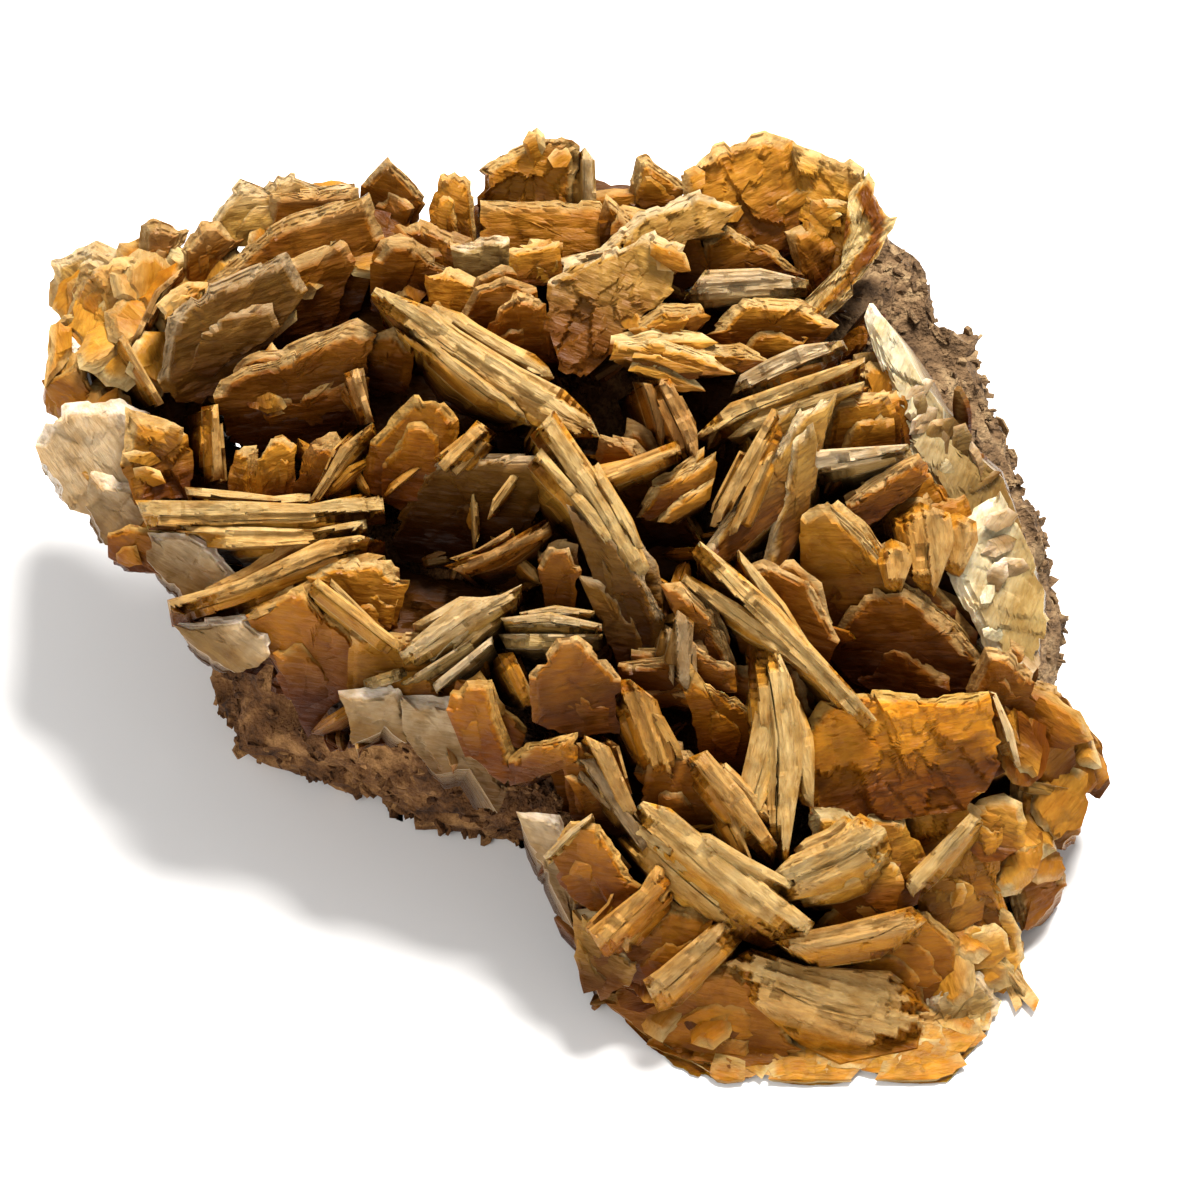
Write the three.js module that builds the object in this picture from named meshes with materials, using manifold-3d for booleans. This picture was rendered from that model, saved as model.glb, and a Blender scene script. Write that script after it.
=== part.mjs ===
// A hand specimen of bladed golden barite on its brown matrix, in millimetres, +Z up.
// The specimen rests on a flat cut under its matrix and leans back, so its crystal face
// looks forward and up. The crystal face has a frame of its own: x to the right, y up the
// face, z out of it. The origin of the part is on the flat, straight below the middle of
// the crystal face.
import * as THREE from "three";
import { mergeVertices } from "three/addons/utils/BufferGeometryUtils.js";
import Module from "manifold-3d";

const wasm = await Module();
wasm.setup();

// Driving dimensions.
const LEAN = (35 * Math.PI) / 180; // the crystal face leans back this far from level
const FACE_HEIGHT = 39; // middle of the crystal face above the flat
const EYE = 420; // distance along the face's axis from which the outlines were read
const GAP = 0.4; // clearance between neighbouring pieces
const HALF_WIDE = 55; // half the width of the crystal face
const HALF_TALL = 47; // half its height
const CREST_TOP = 2; // height of the blades' crests at the middle of the face
const CREST_FALL = 13; // how much lower the crests stand at the rim
const CRUST_DEPTH = 10.5; // from the crests down to the crust that the blades grow from
const CRUST_FALL = 4; // how much deeper the crust lies at the rim
const CRUST_FOOT = 3; // least height of the crust above the flat
const CRUST_THICK = 8; // thickness of the crust where nothing lies under it
const ROCK_DEPTH = 5; // from the crust's surface down to the matrix
const ROCK_RIM = -33; // where the matrix is widest
const ROCK_BACK = -60; // the deepest point of the matrix before it is cut flat
const OUTLINE_SLACK = 1.6; // corners of an outline flatter than this are left out
const SLIVER = 0.06; // facets thinner than this are closed up
const ROOT_SUNK = 1.2; // how far a root ends inside the crust
const ROOT_SHARE = { plate: 0.5, shingle: 0.6, blade: 0.85, cup: 1, sheet: 0.7 }; // of its front
const FOOT_CLEAR = 0.25; // crystals end this far above the flat

// The crystals of each group, read by hand. A row gives the habit, how far the crest stands
// above or below the general crest, the slope of the front along x and along y, the depth
// behind the front, and the outline as x, y pairs.
const CRYSTALS = {
  upper_left_plates: [
    ["plate", 0, -0.1, 0.5, 2, [
      -39, 38, -37.8, 40, -36, 42.2, -33.7, 41.3, -32.2, 43, -30, 42.7, -27.4, 41.5, -24.5, 41.7,
      -24, 37, -38, 35,
    ]],
    ["plate", 0.5, 0, 0.8, 1.6, [-33.5, 37, -33, 40.6, -30, 41.2, -27, 41.3, -24, 41.3, -24, 37]],
    ["plate", -0.5, 0.3, 0.7, 2, [
      -24, 41.5, -21.2, 44.4, -19.3, 42.7, -18.6, 42, -16.9, 39.6, -19, 36, -22, 34, -24.5, 36,
    ]],
    ["plate", 2.5, -0.15, 0.75, 2.2, [
      -39.7, 31.9, -37, 34, -33, 37.5, -31, 38.6, -26, 40, -23.1, 40.8, -21.5, 36.2, -24, 29, -28,
      23, -33, 24, -39, 27,
    ]],
    ["plate", 5, -0.25, 0.7, 2.4, [
      -39.5, 31.5, -31.3, 34.9, -29.2, 31, -33, 25.5, -38.5, 19.7, -43, 19.5, -44.3, 22, -44, 24,
      -43.3, 28.3,
    ]],
    ["plate", 3, -0.1, 0.9, 2, [
      -38.7, 20.5, -38, 22, -36, 23.2, -32.5, 24, -28.5, 26.2, -24.7, 27.8, -22.3, 26.5, -23, 21,
      -26, 15.5, -34, 15, -38, 16,
    ]],
    ["plate", 0.5, 0, 0.9, 2, [
      -23, 34, -21.3, 36.3, -18.7, 36.3, -16.5, 34.3, -14.3, 33.2, -15, 29, -19, 27.5, -23, 29,
    ]],
    ["plate", 4, -0.3, 0.3, 1.4, [
      -44.5, 29.5, -43, 31, -41, 32, -39.2, 31.8, -39, 29.6, -40, 30.6, -41.5, 29.8, -43.5, 28,
    ]],
    ["blade", 1, 0.3, 0.5, 9, [-26, 22.5, -24.2, 23.2, -22.6, 17.8, -24, 17.4]],
    ["plate", 0, 0.2, 0.9, 2, [-24.5, 22, -23.5, 26.5, -20.5, 27.5, -18.5, 25, -19, 21, -22, 20]],
    ["plate", 3.5, 0.1, 0.8, 2.4, [
      -23.2, 16, -18.6, 20.6, -16.2, 20.5, -14, 18.2, -13.8, 12, -16, 9, -20, 9, -24, 11,
    ]],
    ["blade", 3.5, 0.1, 0.3, 9, [
      -29.5, 9.3, -27.5, 12.5, -26, 15.3, -22.7, 17.8, -22.3, 16.6, -25, 13.6, -26.8, 10.8, -28.5,
      8.6,
    ]],
    ["plate", 1.5, -0.2, 0.7, 2, [
      -34.7, 9, -34.5, 14, -33, 16.5, -31.7, 16.6, -30.3, 15.5, -30.2, 12, -30.8, 9,
    ]],
    ["plate", 1.5, 0.2, 0.9, 2, [-31, 8, -30.5, 13, -29, 16, -26.5, 16.5, -25, 14, -24.5, 9]],
    ["blade", 4.5, 0.1, 0.12, 10, [
      -22.9, 30.5, -22.4, 31.3, -17, 29.3, -14, 27, -8, 23.3, -3.5, 21, -1, 18.5, 0, 16.3, -4.5,
      16.4, -9, 18.3, -14, 21.5, -18.8, 25.2, -22.8, 29.9,
    ]],
  ],
  left_rosette: [
    ["plate", -3, 0.3, 0.3, 1.6, [-55, 34, -50.3, 36, -47, 34.5, -49, 31, -53, 28.8, -55.2, 29]],
    ["shingle", -1.5, 0.3, 0.4, 2.4, [
      -52, 33, -50, 34, -46.5, 34.5, -44.5, 33, -46.5, 29, -47, 24, -47, 19.5, -50.5, 19.5, -51.5,
      22.5, -53, 25.5, -54, 28,
    ]],
    ["plate", -1, 0, 0.6, 2.5, [-46, 37.5, -44.7, 38.3, -41, 37, -42, 34.5, -43, 31, -46.3, 33]],
    ["plate", 0, -0.3, 0.6, 2.2, [
      -42, 35, -40, 38.3, -38, 38.2, -35.6, 36.1, -37, 34.5, -39.5, 30, -42, 31,
    ]],
    ["blade", 1, 0.2, 0.2, 8, [-47, 25.5, -44.5, 31, -41.7, 33.3, -41.3, 32.2, -43.6, 30, -46, 25]],
    ["blade", 2, 0.2, 0.2, 8, [-48.6, 26, -47.6, 26.6, -43.6, 19.7, -44.6, 19.2]],
    ["plate", -2.5, 0.3, 0.5, 3, [-54, 23, -52, 24.2, -50.3, 20.5, -51, 17, -54, 18, -55.9, 22]],
    ["plate", -3, 0.3, 0.5, 1.6, [-55.3, 25, -53.5, 27, -51.8, 25.5, -52, 22, -55, 21.5]],
    ["plate", 1, 0.35, 0.25, 2.4, [
      -56.8, 15.4, -55, 18.5, -53.5, 19.7, -48, 20.2, -45, 18.7, -44, 13.5, -46, 10, -50, 8.2, -53,
      9, -54.2, 10.5, -56, 13.3,
    ]],
    ["shingle", 1.5, -0.1, 0.4, 2.4, [
      -47.5, 19.4, -44.5, 18.5, -42.5, 17.9, -40.8, 16.8, -40.6, 13, -41, 10, -46.5, 9.5, -48, 13.5,
    ]],
    ["blade", 2, 0, 0.5, 8, [-39.8, 19.3, -38.2, 19.6, -37.7, 12.2, -39.5, 11.6]],
    ["plate", 2, 0.2, 0.6, 2, [-37.3, 12.5, -36.5, 15.3, -34.3, 15.5, -34.5, 9, -37, 8.5]],
    ["blade", 3.5, 0, -0.15, 12, [
      -46.5, 10, -36, 9.9, -29, 9.6, -25, 10.4, -21.8, 11, -21.4, 7.6, -33, 6.2, -39, 5.7, -40.5,
      6.7, -45.2, 7,
    ]],
    ["blade", 2.5, 0.05, 0.1, 12, [
      -43.3, 0, -36, 2, -32, 4, -28, 6, -24, 6.5, -21.6, 5.8, -21.3, 4.2, -24, 3.4, -29.7, 1.2,
      -36, -1.5, -40, -2.7, -42.8, -2.7,
    ]],
    ["plate", 2, 0.3, 0.5, 2.2, [
      -45.3, 6.8, -41, 6.7, -38.3, 5.2, -36, 2.6, -37.5, -0.5, -40, -1, -43.3, 1.6, -45.4, 4,
    ]],
    ["plate", 0, 0.3, 0.5, 2.2, [-49.2, 4.3, -49.3, 6.8, -47, 7.6, -44, 7, -44, 2.5, -47, 2.8]],
  ],
  lower_left_plates: [
    ["plate", 1, 0.3, 0.4, 2.2, [
      -43, -2.4, -40, -1.8, -35.5, -1.4, -33, -3.3, -32.5, -5.5, -34, -6.9, -36.5, -7.3, -38.8,
      -6.2, -41, -4.3,
    ]],
    ["plate", 2.5, 0.15, 0.8, 2.4, [
      -35.5, -1.5, -29.8, 1.7, -27, -1.5, -24.5, -3, -22.6, -6.5, -24, -9.5, -27, -11.2, -29.2,
      -13.8, -31.3, -10, -33.2, -6,
    ]],
    ["blade", 4, 0.1, 0.2, 11, [-29.6, 1, -28.2, 2.2, -19.4, -4.6, -20.4, -6.4]],
    ["blade", 4, 0.05, 0.2, 11, [
      -20.2, -5.2, -17, -2.5, -14, 0, -10, 0.5, -7.8, 1.6, -8.4, -0.6, -14, -4.6, -19, -7.4,
    ]],
    ["blade", 2.5, 0.05, 0.2, 10, [-23.8, -8, -18.8, -6.4, -18.8, -7.6, -23.5, -9]],
    ["blade", 3, 0.05, 0.2, 10, [-20.4, -8.6, -10.8, -2.6, -10.6, -3.9, -19.8, -9.8]],
    ["blade", 2.5, 0.05, 0.2, 10, [-16.8, -8.4, -10.8, -3.6, -10.6, -4.9, -16.2, -9.6]],
    ["plate", 3, 0.1, 0.7, 2.4, [
      -15, -9.3, -13.8, -7.9, -10.8, -7.9, -9.6, -12, -7.9, -16.5, -9.5, -18.5, -13.5, -15.7,
      -15.4, -11,
    ]],
    ["plate", 0, 0.1, 0.6, 2.2, [
      -26.3, -9, -20, -8.4, -18.6, -11.5, -19, -14.6, -21.5, -13, -24.9, -14.6,
    ]],
    ["plate", -0.5, 0.1, 0.6, 2.2, [
      -20, -9.5, -14, -9.5, -10.3, -14.5, -9, -18.5, -10.2, -21.4, -12.5, -17.4, -16.7, -17.6,
      -19.7, -13.5,
    ]],
  ],
  centre_blades: [
    ["plate", 0.5, 0.1, 0.9, 2.4, [
      -21, 6.5, -19, 11, -17.5, 13.3, -15.3, 14.5, -8.5, 14.6, -5.5, 14.6, -6, 9, -8, 5.5, -14, 3,
      -20, 4,
    ]],
    ["blade", 4, 0.1, 0.2, 9, [-16.2, 13.6, -15, 12.2, -10.3, 16.6, -12.3, 18]],
    ["blade", 3.5, 0.1, 0.3, 9, [-15.6, 3.4, -11, 4.9, -5.3, 8.2, -4.8, 6.6, -10, 3.4, -13, 2.4]],
    ["plate", 4, 0.1, 0.9, 2, [-6.4, 3.2, -5.2, 5.4, -3, 5.6, -1.8, 3, -2.8, -2.4, -5.4, -2.4]],
    ["blade", 3.5, 0, 0.2, 9, [-10, -1.8, -5, -1.2, 0.2, -2.4, 0.2, -3.6, -5, -3.2, -9, -3.2]],
    ["blade", 3, 0, 0.2, 9, [-10.2, -3.4, 0.3, -3.4, 0.3, -5, -9.4, -4.8]],
    ["plate", 5, -0.1, 0.7, 2.6, [
      -7.2, -7.5, -5.2, -5, -4.3, -3.8, -2.2, -3.5, 0, -5.2, 2.2, -7.8, 2, -13.4, -4, -13.6, -6.8,
      -12.2,
    ]],
    ["blade", 3, 0.1, 0.4, 9, [-10.2, -5.4, -8.7, -5.2, -6.2, -10.4, -7.6, -10.8]],
    ["blade", 8.5, -0.1, 0.3, 13, [
      -7, 16.4, -4.6, 19, -1.2, 14, 2.6, 8.6, 5, 3.3, 3.6, 0.8, 0, 6, -2.6, 10.5, -4.4, 12.6,
    ]],
    ["plate", 5.5, 0.15, 0.75, 3, [
      -3.4, 9.6, 0, 8.6, 3.5, 5, 5.4, 2, 6.8, -1.7, 6, -6.7, 2, -7.6, 0, -1,
    ]],
    ["plate", 2, 0.2, 0.9, 2, [1.5, -6.2, 6, -5.6, 9.4, -4, 13.5, -6.6, 13.7, -9.2, 8, -9.4, 2, -9]],
    ["plate", 3.5, 0.2, 0.8, 2, [6, 1.6, 8, 1.9, 11.7, -1.5, 13.5, -6, 13.4, -8, 9, -4.5]],
    ["blade", 4, 0, 0.4, 9, [7.8, -1, 9.4, -2.2, 8.9, -9.4, 6.4, -6]],
    ["plate", 3, -0.1, 0.8, 2.2, [
      8, -9, 9, -6.2, 10.5, -8.3, 12.5, -8.8, 15.2, -11, 16, -13.5, 15, -18.6, 10, -15.5,
    ]],
    ["blade", 5.5, -0.1, 0.3, 9, [-1, 11.8, -0.6, 12.8, 7.8, 16, 8.3, 14, -0.6, 10.6]],
    ["plate", 4, -0.1, 0.8, 2, [3.2, 8, 5, 11.3, 12, 15.2, 11.6, 12, 5.4, 8]],
    ["blade", 6, 0, 0.25, 12, [
      14.5, -4.2, 17.6, -4.5, 19.2, -8, 20.4, -13.5, 20.2, -17, 18.7, -26.4, 16.8, -25.4, 15.8,
      -22, 15.3, -13,
    ]],
    ["blade", 4, -0.1, 0.4, 10, [
      1.8, -8, 3, -7.9, 5.7, -10, 7.4, -15, 7.7, -17.8, 6, -18.8, 4.3, -17, 2.3, -11,
    ]],
    ["blade", 4, -0.1, 0.4, 10, [-2.2, -13.2, 1, -14.7, 3.7, -21, 2.2, -22.8, -1.7, -15]],
    ["blade", 3, -0.1, 0.4, 9, [-2, -16, -0.6, -15.8, 5.2, -24.6, 4, -26, -2, -18]],
    ["plate", 2, 0.2, 0.8, 2.2, [
      -7.4, -14.3, -2.2, -13.2, -2.2, -16, -5, -17.5, -9, -18.6, -9.4, -16,
    ]],
    ["blade", 5.5, -0.1, 0.3, 11, [
      7.6, -16.3, 10.7, -15, 14.4, -19.2, 17.7, -24.5, 17.2, -27, 13.3, -23.2, 9.3, -18.7,
    ]],
  ],
  top_plates: [
    ["shingle", 0, 0.1, 0.55, 2.4, [
      -12.3, 43, -10.5, 44.6, -7, 46.1, -6, 46.8, -3.5, 46.7, -2, 45.4, -2.2, 34, -12.3, 34,
    ]],
    ["plate", -0.5, 0.2, 0.55, 2.2, [
      -17.2, 39, -16, 42.6, -14.5, 43.3, -12.8, 42, -12, 33, -16.5, 33,
    ]],
    ["blade", 0, 0, 0.5, 9, [-2.7, 44, -1.5, 45.3, -0.5, 44, -0.2, 36, -2.7, 36]],
    ["plate", 1.5, 0, 0.9, 1.8, [-14.4, 28, -12.5, 31.3, -9.5, 32.4, -6.3, 31.3, -6, 27, -13.5, 25]],
    ["plate", 2.5, 0, 0.9, 1.8, [-12, 25, -10.5, 29.5, -8.3, 31, -5, 30, -4.5, 24, -9, 22.5]],
    ["plate", 1, 0, 0.7, 1.8, [-15, 35.5, -12, 36.6, -8.6, 36.4, -8.6, 31, -14.2, 31]],
    ["plate", 1.5, -0.1, 0.6, 1.8, [-9.2, 35.2, -4, 36, -3.4, 31.6, -9, 31.2]],
    ["shingle", 1.5, -0.1, 0.25, 2, [
      -4.3, 32.5, -4, 34.2, 0, 35.2, 4, 39.2, 8, 40.4, 10, 41.1, 14.5, 39.6, 12.5, 36.8, 9, 36.8,
      7.6, 31.8, 4, 27.8, 0, 27,
    ]],
    ["shingle", 3, 0.1, 0.25, 2, [
      -5.7, 27, -5.4, 32, 0, 34.8, 5.5, 37, 8.5, 35.5, 7.5, 31, 4, 27.6, 0, 23.6, -2.2, 21.6, -4.4,
      22.8,
    ]],
    ["plate", -1, -0.1, 0.6, 1.8, [
      3, 39.6, 2.8, 42, 3.6, 44.4, 4.6, 44.7, 7.6, 42.6, 9, 41.2, 6, 38,
    ]],
    ["plate", 0, 0, 0.7, 1.8, [-0.2, 38, 0.6, 40.6, 2.3, 39.2, 4.6, 37, 0, 35]],
  ],
  upper_right_cup: [
    ["shingle", 0, -0.15, 0.32, 2.4, [
      8, 42.5, 9.5, 44.3, 11.5, 45.7, 16.5, 47, 19.3, 46, 20.4, 40, 19.6, 34, 14.5, 31.5, 10.5, 34,
      8.6, 38,
    ]],
    ["cup", -1, -0.1, -0.05, 9, [
      26.9, 42.9, 28.4, 40.1, 29.8, 38.4, 28.6, 35, 26, 31, 21, 26.5, 17, 23.8, 16.4, 26, 20, 28.8,
      24, 33, 26.2, 36.6, 24.9, 40.8,
    ]],
    ["shingle", -0.6, 0.12, 0.3, 2.4, [
      18.9, 46.3, 25, 44.2, 27.9, 42.1, 27.4, 38, 25.4, 33, 21.6, 30.4, 19.4, 33, 19.8, 40,
    ]],
    ["plate", -2, -0.2, 0.6, 1.6, [10, 36, 12.5, 37.7, 17.5, 35.2, 20.6, 32.4, 14, 31, 9.6, 32.6]],
    ["plate", -3.5, -0.3, 0.4, 1.6, [18.3, 37, 21, 38.2, 24, 35.5, 22.8, 31, 21.5, 29, 19.6, 32.5]],
    ["blade", 1.5, -0.05, 0.2, 8, [8.3, 30, 10.5, 33, 16, 33.2, 20.9, 32, 20.7, 30.4, 10, 29.2]],
    ["plate", 2.5, -0.1, 0.6, 1.6, [2.5, 27.2, 6, 29.9, 10.5, 29.7, 11.2, 28.4, 9, 25.6, 4.6, 25]],
    ["plate", 4, 0.05, 0.3, 1.8, [0.5, 24, 1.2, 26.1, 6, 26.4, 12, 24.2, 13.7, 22.6, 9, 22, 2, 24.2]],
    ["plate", 3, -0.1, 0.5, 1.6, [8.3, 25.6, 14, 25.8, 17.2, 24, 14.4, 22.6, 9, 23.5]],
    ["blade", 4.5, -0.1, 0.4, 8, [3.8, 22, 7, 22.2, 9.7, 17, 10, 12.8, 8.3, 12.6, 5.3, 19]],
    ["blade", 3.5, 0, 0.2, 9, [
      13, 20.4, 14, 22.5, 17, 24.2, 20, 25.5, 24.3, 26, 24.8, 25, 20.2, 22.3, 16, 20.3,
    ]],
    ["blade", 5.5, 0, 0.3, 9, [
      9.3, 16.2, 13, 19.7, 20, 22.2, 26.5, 24.3, 26.5, 23, 23, 20.8, 17, 18.3, 10.5, 15.1,
    ]],
    ["blade", 6, 0.05, 0.3, 9, [11, 7.4, 11.5, 9.2, 17.2, 19.2, 19.2, 18.4, 13.6, 6.6]],
    ["plate", 4.5, -0.3, 0.5, 2.2, [
      23.7, 20.7, 23, 17.5, 22, 14.2, 20, 10.3, 16, 6.3, 12.5, 3.3, 9.8, 4.5, 13, 9.2, 17, 14.7,
      20, 19.2,
    ]],
  ],
  right_plates: [
    ["plate", 2, -0.2, 0.7, 2, [22.8, 18.6, 23, 19.9, 29, 20.9, 30, 19, 30.4, 15, 27, 13, 22, 13.6]],
    ["blade", 3.5, -0.1, 0.3, 9, [21.3, 13.8, 21.5, 15, 30.8, 15.6, 31.4, 14.2, 20.3, 11]],
    ["plate", 2.5, -0.2, 0.6, 1.8, [24, 9.7, 27, 12.2, 32, 14.9, 33.4, 12.5, 28.2, 8, 26, 6.6]],
    ["blade", 3, -0.3, 0.3, 8, [29, 8, 32, 9.8, 35, 8.7, 35.5, 6, 33.4, 0.2, 31, 1.6]],
    ["sheet", 0.5, -0.4, 0.15, 2.4, [
      26.3, 28.5, 27, 30.3, 30, 26, 32.3, 21.7, 35.2, 18.2, 37.3, 15, 40.3, 12.2, 42.3, 7, 39.5,
      4.5, 35.5, 7, 32.8, 11.5, 30.5, 14.8, 28.3, 21.5,
    ]],
    ["sheet", 0, -0.4, 0.15, 2.4, [
      35, 8, 40, 11, 42.6, 6, 45.1, 1, 44.8, -3.2, 43.4, -7, 39, -6, 36.4, -1, 34, 4,
    ]],
    ["plate", 3.5, 0, 0.75, 3, [
      19.8, 8.3, 22.5, 10.2, 26.5, 6.7, 30, 2.7, 33, 0.2, 36, -2.3, 39, -5.8, 38.7, -9.4, 33,
      -10.2, 26, -9.4, 20.5, -5,
    ]],
    ["blade", 5.5, 0.05, 0.2, 13, [
      10, 5.9, 13, 3.5, 18, -0.8, 21, -4.3, 26, -9.8, 27.7, -12, 26.3, -13.6, 22, -8.7, 16.5, -4.2,
      13, -0.7, 9.2, 4.8,
    ]],
    ["plate", 4, -0.1, 0.45, 3, [
      25.8, -8.8, 34, -9.4, 38.9, -9.1, 40.5, -15.5, 38.6, -19.2, 37.2, -21, 29, -22.4, 21, -21.4,
      19.8, -13.5, 22, -10,
    ]],
    ["blade", 3, -0.2, 0.3, 9, [38.6, -9, 39.6, -9.3, 41.3, -13, 42.1, -16.6, 41, -17, 40, -15]],
  ],
  lower_right_plates: [
    ["blade", 5.5, -0.05, 0.3, 12, [
      4.3, -20.1, 7, -20.8, 13, -25.8, 18.2, -29.6, 21.5, -32.3, 20.6, -34, 16.5, -34.9, 13.5,
      -33.7, 8, -28.2, 2, -22.4,
    ]],
    ["blade", 5, 0, 0.3, 11, [
      16.8, -27.8, 19, -25.6, 23, -23.8, 26, -21.3, 28.5, -22.8, 29.3, -25, 27, -27.7, 23, -29.4,
      18, -30.2,
    ]],
    ["blade", 3.5, -0.1, 0.3, 10, [
      30.3, -28, 34, -24.3, 37, -21.3, 38.3, -22.2, 34.2, -27.7, 31.5, -30.3,
    ]],
    ["shingle", 2, -0.15, 0.5, 2.6, [
      30, -20, 37.2, -20.1, 40.3, -22.8, 40.2, -26, 40.2, -29, 41.5, -33.7, 38, -36.5, 33, -34,
      30.5, -29,
    ]],
    ["blade", 4, 0, 0.35, 10, [16.8, -33.8, 22, -36.8, 28, -35.8, 32.7, -32, 31.2, -30.6, 24, -32.4]],
    ["blade", 3.5, -0.15, 0.35, 11, [
      12.6, -36.3, 15, -34.8, 20.5, -36.6, 29, -37.1, 32.8, -40, 31.8, -44.9, 24, -46.5, 20, -44.5,
      15, -40.2,
    ]],
    ["plate", -1, -0.3, 0.3, 2.4, [
      38.8, -5.8, 46.6, -8.9, 48.2, -12, 49.6, -14, 44, -15, 41, -13, 39, -9,
    ]],
    ["plate", -2, -0.3, 0.4, 2.2, [
      42, -9, 46.4, -9.5, 48.1, -11.5, 50.2, -14.3, 51.3, -18, 50, -19.9, 45, -19, 42, -16,
    ]],
    ["plate", -2.5, -0.3, 0.5, 2.4, [
      41, -17.5, 48.7, -19.6, 48.2, -22.3, 48.2, -23.2, 46.2, -25, 43, -24.4, 40.5, -22,
    ]],
    ["plate", -2.5, -0.3, 0.5, 2.4, [
      41, -23.5, 46.4, -25.6, 46.7, -28.5, 44.1, -32, 42, -33.6, 40.6, -29,
    ]],
    ["blade", -1, -0.3, 0.2, 8, [41, -17.6, 48.6, -19.2, 48.6, -20.4, 41, -18.9]],
    ["plate", 0, -0.3, 0.4, 2.2, [38, -33.3, 41, -35.8, 44, -40, 43.4, -41.2, 37.3, -35.2]],
    ["plate", 0, -0.2, 0.5, 2.2, [35.6, -36.5, 38, -37, 40.2, -40, 39.2, -43.3, 34, -44, 32.5, -40]],
    ["plate", -0.5, -0.1, 0.6, 2.4, [
      30, -40.5, 36, -40, 38.7, -43.6, 37, -45.1, 33.5, -46.8, 30, -48.1, 25.6, -47.2, 27, -43.5,
    ]],
    ["plate", -0.5, 0, 0.6, 2.4, [
      16.2, -46.5, 16.6, -48, 20, -49.9, 25, -48.9, 26.6, -47, 27, -43.5, 19, -43,
    ]],
    ["plate", -0.5, 0.1, 0.5, 2, [10, -45.5, 12, -47.6, 13.5, -49.1, 16.3, -47, 16, -43, 11, -42]],
    ["plate", 1, 0.1, 0.7, 2.6, [
      7, -37, 13, -36, 18, -39.5, 20.2, -45, 17, -46.6, 13, -47.1, 9, -46.1, 5.6, -44.4, 0, -40.2,
      3, -38,
    ]],
  ],
  lower_left_rosette: [
    ["plate", 3, 0.1, 0.6, 2.4, [
      -5.4, -25.4, -3, -22, 0, -22.3, 4.2, -28.5, 2.2, -31.7, -1.5, -31, -4, -28.5,
    ]],
    ["blade", 3.5, 0.1, 0.3, 9, [
      -5.7, -25.6, -3, -22.9, -0.8, -21.3, -0.4, -22.4, -2.8, -24.2, -5, -26.6,
    ]],
    ["blade", 4, 0, 0.3, 10, [-1.2, -33, 4, -28.9, 5.5, -26.3, 7.2, -27.4, 7.2, -30, 1, -36.7]],
    ["blade", 3.5, 0, 0.3, 10, [4.3, -38, 5.8, -41.2, 8, -40.5, 14.2, -34, 12, -31.8, 6, -36.8]],
    ["plate", 0.5, 0.2, 0.5, 2.4, [-2.8, -31, 0, -30.5, 4, -36.3, 3, -38.7, 0.1, -40.2, -2.6, -34.2]],
    ["plate", 1, 0.1, 0.6, 2.4, [1, -34, 7, -30, 12, -31.5, 10, -37, 5, -40, 1.5, -39]],
    ["plate", -0.5, 0.2, 0.5, 2.2, [
      -8.5, -21, -4, -21.5, -2, -26, -2.6, -33, -4.4, -29.5, -6.6, -25.4,
    ]],
  ],
};

// Patches of crust that the groups grow on: the middle and the outline of each.
const PATCHES = {
  upper_left_plates: [
    [[-25, 25], [
      -38.5, 36, -30, 41, -22, 42, -16, 37, -12, 30, -3, 20, -4, 14, -14, 8, -24, 8, -31, 9, -38, 14,
      -40, 24,
    ]],
  ],
  left_rosette: [
    [[-44, 15], [
      -54, 32, -46, 36, -38, 35, -37, 25, -35, 14, -24, 11, -22, 5, -30, 1, -42, -1, -44.5, 4, -49, 7,
      -54.5, 13, -55, 22,
    ]],
  ],
  lower_left_plates: [
    [[-21, -6], [
      -41, -3, -36, -0.5, -30, 2, -20, 5, -9, 2, -9, -8, -9, -20, -12, -17, -18, -16, -24, -14,
      -28, -13, -33, -7, -38, -6,
    ]],
  ],
  centre_blades: [
    [[1, 2], [
      -21, 6, -15, 14, -5, 18, 8, 16, 12, 8, 14, 0, 16, -10, 14, -18, 0, -14, -8, -12, -10, 0,
    ]],
    [[8, -16], [-8, -14, 2, -9, 14, -5, 20, -6, 20, -20, 18, -27, 12, -25, 4, -24, -3, -20]],
  ],
  top_plates: [
    [[-3, 33], [-16.5, 40, -6, 45, 4, 43, 10, 40, 8, 30, 1, 22, -5, 22, -15, 27]],
  ],
  upper_right_cup: [
    [[15, 28], [8, 41, 16, 45.5, 26, 42, 28, 37, 24, 28, 25, 22, 20, 10, 11, 4, 7, 14, 2, 22, 2, 28,
      8, 32]],
  ],
  right_plates: [
    [[31, 11], [27, 29, 31, 23, 37, 14, 41, 8, 44, 0, 42, -5, 34, -3, 28, 2, 22, 9, 21, 14, 23, 22]],
    [[25, -8], [
      10, 6, 20, 8, 27, 5, 36, -3, 40, -9, 41, -17, 36, -21, 20, -21, 14, -18, 12, -6,
    ]],
  ],
  lower_right_plates: [
    [[30, -31], [
      6, -25, 18, -26, 28, -21, 38, -20, 42, -8, 48, -12, 50, -18, 46, -27, 42, -34, 42, -40, 36, -45,
      24, -48, 12, -47, 2, -41, 6, -37, 14, -33,
    ]],
  ],
  lower_left_rosette: [
    [[1, -31], [-7, -22, -2, -21, 4, -26, 13, -32, 9, -38, 4, -41, 0, -39, -3, -33]],
  ],
};

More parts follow.
